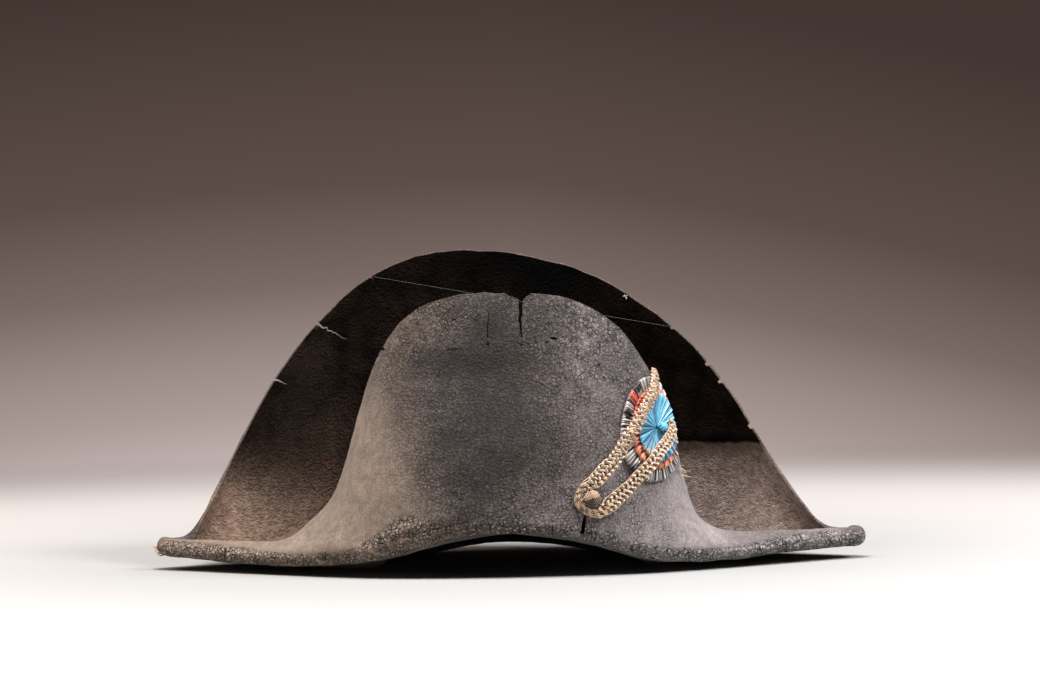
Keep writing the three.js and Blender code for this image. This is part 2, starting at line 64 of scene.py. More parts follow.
# Sections through the felt, from the left tip along the front to the right tip and back along the rear.
COLUMNS = "head fold_x fold_y fold_z head_z radius turn edge_x edge_y edge_z bow".split()
SECTIONS = np.array([
    [180, -230, 0, 11.5, 1.2, 4.4, 100, -221, 0, 19, 0.6],
    [187, -224, -9.5, 10.4, 1.2, 4.2, 120, -216.5, -3.2, 17, 0.6],
    [193, -203, -22.5, 9, 1.6, 4, 135, -194.5, -11, 16.6, 0.6],
    [199, -172, -43, 7.5, 3, 4, 145, -163, -28, 17.6, 0.6],
    [203, -150, -57, 7, 5.5, 4.4, 150, -143, -38, 21, 0.55],
    [208, -138, -65, 7.2, 7.8, 5, 150, -126.5, -41, 33, 0.5],
    [213, -128, -72, 7.8, 9.8, 6, 146, -111, -44, 50.5, 0.45],
    [218, -119, -78, 8.4, 11.8, 7.2, 134, -101, -48, 78, 0.4],
    [225, -108, -84.5, 9.3, 14.5, 8, 118, -91, -57, 112, 0.4],
    [232, -94, -92, 10.9, 17.2, 8, 106, -79, -70.5, 140, 0.4],
    [240, -76, -100, 14.7, 20.2, 8, 98, -62, -84, 161, 0.4],
    [249, -52, -107.5, 22, 23.8, 8, 93, -41, -92, 171, 0.4],
    [260, -26, -112.5, 27.8, 26.8, 8, 90, -20, -97, 174.3, 0.4],
    [270, 0, -114, 28.8, 28.5, 8, 90, 4, -99, 174, 0.4],
    [280, 26, -112.5, 27, 26.8, 8, 90, 28, -97, 172.5, 0.4],
    [291, 52, -107.5, 22.4, 23.8, 8, 91, 50, -90.5, 165.5, 0.4],
    [300, 76, -100, 13.8, 20.2, 8, 94, 69, -81, 152, 0.4],
    [308, 94, -92, 8.6, 17.2, 8, 97, 84, -69, 132, 0.4],
    [315, 108, -84.5, 7.3, 14.5, 7.8, 104, 94.5, -59, 108.5, 0.4],
    [322, 119, -78, 6.5, 11.8, 7.2, 121, 103.5, -49.5, 79, 0.4],
    [327, 128, -72, 6.4, 9.8, 6, 142, 109.8, -45, 45.5, 0.45],
    [332, 138, -65, 6.5, 7.8, 5, 150, 121.5, -41, 27.5, 0.5],
    [337, 150, -57, 6.6, 5.5, 4.4, 150, 138, -38, 20.8, 0.55],
    [341, 172, -43, 8.2, 3, 4.2, 145, 165, -29, 19.2, 0.6],
    [347, 203, -22.5, 9, 1.6, 4.2, 135, 194.5, -13, 16.8, 0.6],
    [353, 224, -9.5, 9.2, 1.2, 4.6, 115, 216, -4, 17.2, 0.6],
    [360, 230, 0, 9.2, 1.2, 5, 95, 222, 0, 19.8, 0.6],
    [367, 224, 9.5, 8.6, 1.2, 4.8, 92, 214.5, 5.5, 16.4, 0.6],
    [373, 206, 21.5, 6, 1.2, 5.5, 80, 199.5, 13, 25.5, 0.5],
    [379, 178, 39, 3, 1.2, 6.5, 72, 172, 34, 67.5, 0.45],
    [385, 154, 55, 1.4, 1.2, 7.5, 68, 149, 50, 107.5, 0.4],
    [394, 128, 71, 0.9, 1.2, 8, 70, 124, 63, 141, 0.4],
    [407, 100, 87, 1.2, 1.6, 8, 76, 95, 73, 167, 0.4],
    [420, 70, 99, 3.2, 3.4, 8, 84, 63, 80, 187.5, 0.4],
    [435, 36, 109, 6.4, 6.4, 8, 90, 30, 85, 200, 0.4],
    [450, 0, 113, 7.5, 7.5, 8, 90, -5, 88, 207, 0.4],
    [465, -36, 109, 6.4, 6.4, 8, 90, -42, 87, 208.2, 0.4],
    [480, -70, 99, 3.2, 3.4, 8, 84, -78, 82, 200, 0.4],
    [493, -100, 87, 1.2, 1.6, 8, 76, -107, 74, 182, 0.4],
    [506, -128, 71, 0.9, 1.2, 8, 70, -134, 65, 155, 0.4],
    [515, -154, 55, 1.4, 1.2, 7.5, 68, -155, 54, 127, 0.4],
    [521, -178, 39, 3, 1.2, 6.5, 72, -175, 40, 91.5, 0.45],
    [527, -206, 21.5, 6.4, 1.2, 5.5, 80, -200.5, 13.5, 38, 0.5],
    [533, -224, 9.5, 9.3, 1.2, 5, 92, -212, 6.5, 15.8, 0.6],
])
REAR_START = 26  # the section at the right tip

# Soft dents of the flaps: side (-1 front, 1 rear), middle x and z, half widths, and depth into the flap.
DENTS = [
    (-1, -10, 122, 62, 15, 2.2),
    (-1, 8, 82, 55, 18, -1.8),
    (-1, 58, 132, 16, 20, 1.6),
    (-1, -62, 60, 24, 26, -1.6),
    (1, -118, 96, 26, 30, -2.6),
    (1, -60, 150, 34, 30, 2.0),
    (1, 84, 110, 34, 34, -2.4),
]

# A crease across the right of the rear flap: above it the felt leans forward.
CREASE_Z = 74.0
CREASE_HALF_HIGH = 5.0
CREASE_DEEP = 7.0
CREASE_FROM_X = 82.0
CREASE_FULL_X = 104.0

# Tears, nicks and moth holes, seen from the front: (x, z, half width) along each path.
# near, far: depth that the cuts run through; taper: their width at the far side against the near side;
# rough: how far the points of a cut wander.
TEARS = [
    dict(near=-130, far=-80, taper=1.0, paths=[
        [(8.5, 182, 14), (8.5, 176, 11), (8.6, 174, 8), (8.8, 172.4, 4.4),
         (9, 170.6, 1.3), (8.6, 165, 1.1), (8.2, 158, 0.9), (8.8, 147, 0.4)],
    ]),
    dict(near=-130, far=-104, taper=1.0, paths=[
        [(46.4, 41, 0.5), (45, 33, 1.1), (43.4, 26, 1.4), (42.4, 10, 1.5)],
    ]),
    dict(near=40, far=90, taper=0.1, rough=0.8, paths=[
        [(-140, 165, 1.6), (-131, 160.5, 1.5), (-121, 154.5, 1.1), (-110, 148, 0.3)],
    ]),
    dict(near=30, far=80, taper=0.1, rough=0.7, paths=[
        [(-165, 124.5, 1.3), (-157, 121.5, 1.0), (-150.5, 119, 0.3)],
    ]),
    dict(near=40, far=90, taper=1.0, paths=[[(-97, 196, 2.2), (-93.5, 190.5, 0.6)]]),
    dict(near=30, far=90, taper=1.0, paths=[[(117, 157, 3), (110.5, 152, 0.9)]]),
    dict(near=30, far=80, taper=1.0, paths=[
        [(140, 132, 3.2), (133, 127, 1)],
        [(148, 119, 2.8), (141, 115, 0.8)],
    ]),
    dict(near=20, far=70, taper=1.0, paths=[[(168, 90, 4), (160, 85, 1.4)]]),
    dict(near=-110, far=-50, taper=1.0, paths=[[(-83, 143, 1.8), (-76.5, 141, 0.7)]]),
    dict(near=-130, far=-85, taper=0.6, paths=[
        [(26, 146.6, 0.6), (28, 146, 1.3), (30.6, 145.6, 0.8)],
        [(23.6, 144.2, 0.5), (24.9, 143.7, 0.8)],
        [(55.9, 129.6, 0.7), (56.9, 129, 1.0)],
        [(-12, 145.6, 0.3), (-11.8, 143.8, 0.8), (-11.8, 142.4, 1.3)],
        [(-33.4, 158.2, 0.5), (-31.4, 159.2, 0.9)],
        [(6.8, 143.6, 0.3), (8.8, 142.2, 0.7), (10.2, 143, 0.3)],
        [(-11.2, 163, 0.25), (-11.6, 155, 0.45), (-12, 147, 0.45)],
        [(-37, 140, 0.3), (-32, 141.2, 0.5), (-27, 139.8, 0.3)],
        [(13, 121.6, 0.25), (19, 119.4, 0.4), (25.5, 115.6, 0.3)],
    ]),
    dict(near=-130, far=-104, taper=0.6, paths=[
        [(-12.2, 33, 0.25), (-12.6, 28, 0.45), (-12.4, 22, 0.5)],
        [(25.4, 33, 0.25), (25.8, 28, 0.45), (25.4, 20, 0.5)],
    ]),
]
TEAR_ROUGH = 0.28  # where a row names no other
TEAR_STEP = 1.6

# Stains of the felt, and patches of painted light and shade, seen from the front: side (-1 front, 1 inside
# of the rear flap), middle x and z, half widths, and how dark (below 0) or pale (above 0) they make the
# felt.
STAINS_AND_PAINTED_LIGHT = [
    (-1, -12, 151, 15, 12, -0.9),
    (-1, -17, 132, 27, 9, -0.7),
    (-1, -8, 102, 27, 34, -0.7),
    (-1, -4, 164, 15, 12, -0.4),
    # painted shade: the shadow in a dent of the front flap
    (-1, -35, 136, 10, 6, -0.4),
    (-1, 48, 145, 22, 20, 0.18),
    (-1, 41, 124, 18, 12, 0.2),
    # painted light: lightens the felt left of the loop, where the loop's shadow falls
    (-1, 58, 92, 16, 24, 0.25),
    (-1, 90, 38, 34, 32, 0.85),
    # painted light: lightens the felt inside the loop, where the loop's shadow falls
    (-1, 65, 60, 11, 14, 0.9),
    (-1, 170, 15, 34, 12, -0.45),
    (-1, 222, 16, 10, 12, -0.4),
    (-1, 34, 42, 26, 20, 0.4),
    (-1, -53, 155, 15, 15, 0.3),
    (-1, -66, 28, 22, 18, 0.45),
    (-1, 6, 28, 44, 14, 0.3),
    (1, -135, 132, 14, 16, 0.07),
    (1, -122, 88, 14, 20, 0.08),
    (1, -150, 94, 16, 18, 0.05),
    (1, -198, 40, 18, 26, 0.6),
    (1, 182, 40, 22, 28, 0.5),
]

# The cockade's frame on the front flap, and how the cockade bends with the flap.
HUB_STATION = 17.0
HUB_V = 0.872
COCKADE_LIFT = 0.9
COCKADE_MIDDLE = 3.0
COCKADE_SHIFT = -1.0  # its centre lies this far from the hub of its frame, to the right
COCKADE_NARROW = 0.75  # width against height
COCKADE_TURN = math.radians(-25)  # lean of its narrow way
COCKADE_BEND_LEFT = 116.0
COCKADE_BEND_RIGHT = 48.0
COCKADE_TWIST = 0.0025
PLEATS = 24
PLEAT_CREST = 0.3
# Its rings: rows of radius, height of the underside, cloth thickness and height of the pleats.
RINGS = {
    "white": [(22, 0, 1.4, 0.9), (28, 0, 1.4, 0.9), (34.5, 0, 1.3, 0.9)],
    "red": [(15.5, 1, 1, 0.8), (21.7, 2.7, 1, 0.8), (26.8, 2.7, 1, 0.8)],
    "blue": [(1.2, 1.6, 1.2, 0.2), (8, 2.3, 1.1, 0.6), (15.2, 3.2, 1, 0.9), (20.5, 4.65, 1, 0.9),
             (22.5, 5.05, 1, 0.8)],
}
# Spots in the cockade's frame, by the ring that is stained, and dark spots for all rings, partly sooty marks
# and partly painted shade: middle and half sizes.
COCKADE_SPOTS = {
    "white": [(-14, 19, 4.5, 9)],
    "red": [(-15, 17, 5, 8), (14, -14, 5, 6)],
    "blue": [(0, 22, 6, 4), (-17, -15, 4, 4), (17, -10, 4, 6)],
    "soot": [(-32, 8, 3, 4), (-22, 10, 3, 3.5), (-11, 27, 4, 5), (-20, 25, 2, 3), (20, -13, 3, 3.5),
             (-21, -25, 6, 5)],
}
KNOT_FOOT = 4.95
KNOT_A = 2.1
KNOT_B = -0.2
KNOT_ROWS = [(1.9, 0), (2.7, 1), (2.6, 2.6), (1.7, 3.8), (0.4, 4.15)]
BUTTON_STATION = 14.877
BUTTON_V = 0.676
BUTTON_ROWS = [(5, 0), (5.7, 1.2), (5.5, 2.6), (4.4, 4), (2.5, 5), (0.4, 5.35)]

# The loop, from the upper end of its left run down round the button to the upper end of its right run.
LOOP_COLUMNS = "a b d wide thick plait".split()
LOOP = np.array([
    [5.9, 36, 2.6, 5, 3, 1],
    [1.6, 29.5, 5.1, 7.4, 3.3, 1],
    [-5.5, 22.3, 7.9, 7.6, 3.4, 1],
    [-10.8, 16, 7.85, 7.8, 3.4, 1],
    [-17.2, 10.6, 7.1, 8, 3.4, 1],
    [-21, 5.3, 5.9, 8, 3.4, 1],
    [-25.5, -0.6, 3.4, 8.2, 3.4, 1],
    [-29.6, -6.4, -0.2, 8.6, 3.4, 1],
    [-34.7, -15.4, -5.8, 9, 3.4, 1],
    [-41.4, -22.2, -11.2, 9.6, 3.4, 1],
    [-47.1, -27.5, -15.4, 9, 3.2, 0.9],
    [-52.2, -29.2, -19.2, 4.8, 2.8, 0.4],
    [-54.6, -32.7, -21.9, 3, 2.4, 0],
    [-56.3, -37.7, -23.4, 3.6, 2.6, 0],
    [-53.8, -42.9, -22.4, 3, 2.4, 0],
    [-48.7, -46.6, -20.2, 3.4, 2.4, 0],
    [-43.7, -46.3, -16.7, 6, 2.8, 0.5],
    [-39.2, -42.9, -13.3, 9.6, 3.2, 0.9],
    [-33.2, -38.4, -9.6, 8.8, 3.4, 1],
    [-28, -34.2, -5.2, 8, 3.4, 1],
    [-23.4, -29.1, -0.7, 8, 3.4, 1],
    [-16, -22.6, 5, 8, 3.4, 1],
    [-8.8, -15.7, 7.35, 8, 3.4, 1],
    [2.2, -8.7, 6.7, 7.6, 3.4, 1],
    [8.5, -3.1, 6.2, 6.5, 3.2, 1],
    [9.6, 3.6, 6.1, 4, 3, 1],
])
LOOP_BEND = 13.0  # the row at the middle of the bend
LOOP_STEPS = 480
PLAIT_STRANDS = 5
PLAIT_CORDS = 2  # cords side by side in a strand
PLAIT_PITCH = 17.0  # one strand over to the other edge and back
CORD_WIDE = 0.42  # half width and half height of one cord
CORD_HIGH = 0.48
BINDING_ROW = 13.9  # where thread is bound round the bend

# A thread caught between two nicks of the rear flap's edge.
THREAD_STATIONS = (37.5, 31.45)
THREAD_V = 0.999
THREAD_THICK = 0.3

# Lint caught on the rear flap: station, v, spread, tone, redness and number of fibres.
LINT = [(38.7, 0.78, 0.1, 0.6, 1, 16), (32.42, 0.997, 0.03, 1.0, 0, 5)]

# The backdrop's colours by height over the horizon, painted light that fades upward, and the lights: place,
# aim, size, power and colour.
# These, the floor and the camera are in metres.
BACKDROP = [
    (-0.07, (240, 234, 232)),
    (-0.052, (216, 206, 205)),
    (-0.04, (194, 178, 176)),
    (-0.02, (172, 155, 151)),
    (0.0, (156, 140, 136)),
    (0.03, (122, 106, 101)),
    (0.07, (92, 77, 72)),
    (0.15, (68, 54, 50)),
]
LIGHTS = {
    "overhead": ((0, -0.5, 1.45), (0, 0, 0), (0.7, 0.6), 50, (1.0, 0.96, 0.93)),
    "right": ((1.1, -0.5, 1.1), (0, 0, 0.05), (0.4, 0.4), 25, (0.95, 0.96, 1.0)),
    "front": ((0, -1.7, 0.16), (0, 0, 0.02), (1.2, 0.1), 1, (1.0, 0.92, 0.86)),
    "left": ((-1.05, -0.35, 1.25), (0, 0, 0.05), (0.8, 0.8), 13, (1.0, 0.9, 0.8)),
}
FLOOR_RADIUS = 1.9
FLOOR_Z = -0.00005
CAMERA_PLACE = (0.0078, -1.6051, 0.140)
CAMERA_ROLL = math.radians(1.03)
LENS_MM = 85
SENSOR_MM = 36


def smooth(low, high, value):
    """0 at low, 1 at high, eased between them."""
    t = np.clip((value - low) / (high - low), 0, 1)
    return t * t * (3 - 2 * t)


def hump(x, y, middle_x, middle_y, wide, high):
    return np.exp(-(((x - middle_x) / wide) ** 2) - ((y - middle_y) / high) ** 2)


def unit(vectors):
    return vectors / np.linalg.norm(vectors, axis=-1, keepdims=True)


def spline(a, b, c, d, f):
    """Smooth curve from b to c, with a before and d after them."""
    return 0.5 * (2 * b + (c - a) * f + (2 * a - 5 * b + 4 * c - d) * f**2 + (3 * b - a - 3 * c + d) * f**3)


def run_along(path, weight=1.0):
    """Length along a path up to each of its points."""
    return np.concatenate([[0], np.cumsum(np.linalg.norm(np.diff(path, axis=0), axis=1) * weight)])


def along(name, station):
    """Smooth closed curve through one column of the sections."""
    column = SECTIONS[:, COLUMNS.index(name)]
    row = np.floor(station).astype(int)
    f = station - row

    def at(step):
        lap, place = np.divmod(row + step, len(SECTIONS))
        return column[place] + (360 * lap if name == "head" else 0)

    return spline(at(-1), at(0), at(1), at(2), f)


def vectors(x, y, z):
    return np.stack(np.broadcast_arrays(x, y, z), axis=-1).astype(float)


def line_place(line, station):
    """Where the fold or the free edge lies."""
    return vectors(*(along(f"{line}_{axis}", station) for axis in "xyz"))


def fold_normal(station):
    dx, dy, _ = (line_place("fold", station + 1e-3) - line_place("fold", station - 1e-3)).T
    return unit(vectors(dy, -dx, 0))


def dent_depth(points):
    depth = np.zeros(len(points))
    for side, x, z, wide, high, deep in DENTS:
        depth += (side * points[:, 1] > 0) * deep * hump(points[:, 0], points[:, 2], x, z, wide, high)
    return depth[:, None]


def crease_depth(points):
    x, y, z = points.T
    above = smooth(CREASE_Z - CREASE_HALF_HIGH, CREASE_Z + CREASE_HALF_HIGH, z)
    return CREASE_DEEP * (y > 0) * smooth(CREASE_FROM_X, CREASE_FULL_X, x) * above


def felt_point(station, v):
    """Middle of the felt. station counts sections round the hat; v runs from the crown's top to the edge."""
    head = np.radians(along("head", station))
    head_z = along("head_z", station)
    head_x = CROWN_HALF_WIDTH * np.cos(head)
    head_y = CROWN_HALF_DEPTH * np.sin(head)

    q = np.clip(1 - v / CROWN_END, 0, 1) * math.pi / 2
    shrink = np.cos(q).clip(0) ** (2 / CROWN_FULLNESS)
    rise = np.sin(q) ** (2 / CROWN_FULLNESS)
    start = head_z + HEAD_FILLET
    crown = vectors(head_x * shrink, head_y * shrink, start + (CROWN_TOP - start) * rise)

    head_out = unit(vectors(np.cos(head) / CROWN_HALF_WIDTH, np.sin(head) / CROWN_HALF_DEPTH, 0))
    g = np.clip((v - CROWN_END) / (FILLET_END - CROWN_END), 0, 1) * math.pi / 2
    fillet = vectors(head_x, head_y, head_z + HEAD_FILLET * (1 - np.sin(g)))
    fillet += head_out * (HEAD_FILLET * (1 - np.cos(g)))[:, None]

    normal = fold_normal(station)
    radius = along("radius", station)[:, None]
    fold_z = along("fold_z", station)
    inner = line_place("fold", station) - normal * radius
    w = np.clip((v - FILLET_END) / (FLOOR_END - FILLET_END), 0, 1)
    brim_start = vectors(head_x, head_y, head_z) + head_out * HEAD_FILLET
    floor = brim_start + (inner - brim_start) * w[:, None]
    floor[:, 2] = head_z + (fold_z - head_z) * smooth(0, 1, w)

    turn = np.radians(along("turn", station))[:, None]
    bend = np.clip((v - FLOOR_END) / (FOLD_END - FLOOR_END), 0, 1)[:, None] * turn
    fold = inner + normal * radius * np.sin(bend) + UP * radius * (1 - np.cos(bend))

    w = ((v - FOLD_END) / (1 - FOLD_END))[:, None]
    t = np.clip(w, 0, 1)
    edge = line_place("edge", station)
    reach = np.linalg.norm(edge - fold, axis=1, keepdims=True) * along("bow", station)[:, None]
    guide = fold + (normal * np.cos(turn) + UP * np.sin(turn)) * reach
    wall = fold * (1 - t) ** 2 + guide * 2 * t * (1 - t) + edge * t**2
    wall += (edge - guide) * 2 * np.maximum(w - 1, 0)
    wall -= normal * dent_depth(wall)
    wall[:, 1] -= crease_depth(wall)

    v = v[:, None]
    return np.select(
        [v <= CROWN_END, v <= FILLET_END, v <= FLOOR_END, v <= FOLD_END],
        [crown, fillet, floor, fold],
        wall,
    )


def felt_normal(station, v):
    """Unit normal on the side of the head, the underside and the outer faces of the flaps."""
    round_hat = felt_point(station + 1e-3, v) - felt_point(station - 1e-3, v)
    down = felt_point(station, v + 1e-4) - felt_point(station, v - 1e-4)
    return unit(np.cross(round_hat, down))


def felt_frame(station, v):
    """A point in the middle of the felt, and the directions right, up and out there."""
    station, v = np.array([station]), np.array([v])
    out = felt_normal(station, v)[0]
    up = unit(UP - out * out[2])
    return felt_point(station, v)[0], np.cross(up, out), up, out


def loft(rings, first=None, last=None, wrap=False):
    """Points and faces of rings that each join the next, closed at end points or back to the first ring."""
    rings = np.asarray(rings, float)
    count, around = rings.shape[:2]
    points = list(rings.reshape(-1, 3))
    faces = []
    following = np.roll(np.arange(around), -1)
    for k in range(count if wrap else count - 1):
        low, high = k * around, (k + 1) % count * around
        for i, n in enumerate(following):
            faces.append((low + i, low + n, high + n, high + i))
    for pole, ring, turned in ((first, 0, True), (last, count - 1, False)):
        if pole is not None:
            points.append(np.asarray(pole, float))
            start = ring * around
            for i, n in enumerate(following):
                pair = (start + n, start + i) if turned else (start + i, start + n)
                faces.append((len(points) - 1, *pair))
    return np.array(points), faces


def weave_corners(faces, around, count, across, length):
    """For each corner of a loft's faces: share of the way round times across, and length by ring."""
    corners = []
    for face in faces:
        rows = [min(p // around, count - 1) for p in face]
        columns = [p % around if p < around * count else face[1] % around for p in face]
        if max(columns) - min(columns) > around / 2:
            columns = [c + around if c < around / 2 else c for c in columns]
        corners += [(c / around * across, length[r]) for c, r in zip(columns, rows)]
    return corners


class Pile:
    """Points, faces and values of one piece, put together from several lofts."""

    def __init__(self):
        self.points = np.zeros((0, 3))
        self.faces = []
        self.corners = []
        self.values = {}

    def add(self, points, faces, corners=(), **values):
        start = len(self.points)
        self.points = np.vstack([self.points, points])
        self.faces += [tuple(start + p for p in face) for face in faces]
        self.corners += corners
        for name, value in values.items():
            filled = np.broadcast_to(np.asarray(value, float), len(points))
            self.values[name] = np.concatenate([self.values.get(name, np.zeros(0)), filled])

    def add_tube(self, path, side, lift, half_wide, half_high, sides, **values):
        """A closed tube along a path, whose section is an ellipse between the directions side and lift."""
        angle = np.linspace(0, 2 * math.pi, sides, endpoint=False)
        wide = np.broadcast_to(half_wide, len(path))[:, None, None]
        high = np.broadcast_to(half_high, len(path))[:, None, None]
        sideways = side[:, None] * wide * np.cos(angle)[:, None]
        rings = path[:, None] + sideways + lift[:, None] * high * np.sin(angle)[:, None]
        points, faces = loft(rings, path[0], path[-1])
        self.add(points, faces, weave_corners(faces, sides, len(path), 1, run_along(path)), **values)


def mesh_of(name, pile, material, tidy=True):
    mesh = bpy.data.meshes.new(name)
    mesh.from_pydata(((pile.points + PLACE) * MM).tolist(), [], pile.faces)
    if pile.corners:
        layer = mesh.uv_layers.new(name="weave")
        layer.data.foreach_set("uv", np.array(pile.corners, np.float32).ravel())
    put_values(mesh, pile.values)
    if tidy:
        edit = bmesh.new()
        edit.from_mesh(mesh)
        bmesh.ops.recalc_face_normals(edit, faces=edit.faces)
        edit.to_mesh(mesh)
        edit.free()
    mesh.materials.append(material)
    mesh.shade_smooth()
    return mesh


def put_values(mesh, values):
    for name, value in values.items():
        layer = mesh.attributes.new(name, "FLOAT", "POINT")
        layer.data.foreach_set("value", np.asarray(value, np.float32))


def show(name, mesh, node=None):
    """A piece of the hat that rides on its one body and takes the place of a CAD node."""
    piece = bpy.data.objects.new(name, mesh)
    bpy.context.scene.collection.objects.link(piece)
    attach(piece, "root")
    if node:
        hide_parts(node)
    return piece


def rgb(red, green, blue):
    """A colour from the usual 0 to 255 scale as the linear values that shaders take."""
    share = np.array([red, green, blue]) / 255
    linear = np.where(share <= 0.04045, share / 12.92, ((share + 0.055) / 1.055) ** 2.4)
    return (*linear.tolist(), 1.0)


class Nodes:
    """Short calls that add nodes to one tree and return sockets. Lengths are millimetres."""

    def __init__(self, tree, place):
        self.tree = tree
        self.place = self.node("TexCoord").outputs[place]

    def put(self, value, socket):
        """Sets a socket to a constant, or links another socket to it."""
        if isinstance(value, bpy.types.NodeSocket):
            self.tree.links.new(value, socket)
        else:
            socket.default_value = value

    def node(self, kind, inputs=(), **settings):
        made = self.tree.nodes.new("ShaderNode" + kind)
        for name, value in settings.items():
            setattr(made, name, value)
        for name, value in dict(inputs).items():
            self.put(value, made.inputs[name])
        return made

    def value(self, name):
        return self.node("Attribute", attribute_name=name).outputs["Fac"]

    def weave(self):
        split = self.node("SeparateXYZ", {"Vector": self.node("UVMap", uv_map="weave").outputs["UV"]})
        return split.outputs["X"], split.outputs["Y"]

    def sum(self, a, b, operation="ADD"):
        return self.node("Math", {0: a, 1: b}, operation=operation).outputs["Value"]

    def product(self, a, b):
        return self.sum(a, b, "MULTIPLY")

    def wave(self, turns):
        """0 to 1 and back once for each whole turn."""
        sine = self.sum(self.product(turns, 2 * math.pi), 0.0, "SINE")
        return self.span(sine, -1, 1)

    def span(self, value, low, high, start=0.0, end=1.0):
        inputs = {"Value": value, "From Min": low, "From Max": high, "To Min": start, "To Max": end}
        return self.node("MapRange", inputs, interpolation_type="SMOOTHSTEP").outputs["Result"]

    def vector(self, operation, inputs):
        return self.node("VectorMath", inputs, operation=operation).outputs["Vector"]

    def turned(self, angles, stretch):
        inputs = {"Vector": self.place, "Rotation": [math.radians(a) for a in angles], "Scale": stretch}
        return self.node("Mapping", inputs).outputs["Vector"]

    def bent(self, size, amount):
        """Places moved about by noise, so that cell walls wander."""
        inputs = {"Vector": self.place, "Scale": 1000 / size, "Detail": 2.0}
        drift = self.node("TexNoise", inputs).outputs["Color"]
        drift = self.vector("SUBTRACT", {0: drift, 1: (0.5, 0.5, 0.5)})
        drift = self.vector("SCALE", {0: drift, "Scale": amount * MM})
        return self.vector("ADD", {0: self.place, 1: drift})

    def noise(self, size, detail=3.0, place=None, rough=0.55):
        inputs = {"Vector": place or self.place, "Scale": 1000 / size, "Detail": detail, "Roughness": rough}
        return self.node("TexNoise", inputs).outputs["Fac"]

    def cells(self, size, place=None, feature="DISTANCE_TO_EDGE", output="Distance"):
        inputs = {"Vector": place or self.place, "Scale": 1000 / size}
        return self.node("TexVoronoi", inputs, feature=feature).outputs[output]

    def above(self, level):
        """1 above a level in millimetres, 0 below it, with a ragged edge."""
        height = self.node("SeparateXYZ", {"Vector": self.place}).outputs["Z"]
        height = self.sum(height, self.product(self.noise(14, 4.0), 5 * MM))
        return self.span(height, (level + 1.5) * MM, (level + 4) * MM)

    def mix(self, share, a, b):
        return self.node("Mix", {0: share, 6: a, 7: b}, data_type="RGBA").outputs[2]

    def tone(self, color, share, low, high):
        """The colour made darker and lighter, from low at 0 to high at 1."""
        return self.vector("SCALE", {0: color, "Scale": self.span(share, 0, 1, low, high)})


class Shader(Nodes):
    """One procedural material."""

    def __init__(self, name, **finish):
        self.material = bpy.data.materials.new(name)
        self.material.use_nodes = True
        super().__init__(self.material.node_tree, "Object")
        self.surface = self.tree.nodes["Principled BSDF"].inputs
        for socket, value in finish.items():
            self.surface[socket.replace("_", " ")].default_value = value

    def finish(self, color, height=None, roughness=None):
        self.put(color, self.surface["Base Color"])
        if height is not None:
            relief = self.node("Bump", {"Height": height, "Distance": MM, "Strength": 1.0})
            self.put(relief.outputs["Normal"], self.surface["Normal"])
        if roughness is not None:
            self.put(roughness, self.surface["Roughness"])
        return self.material


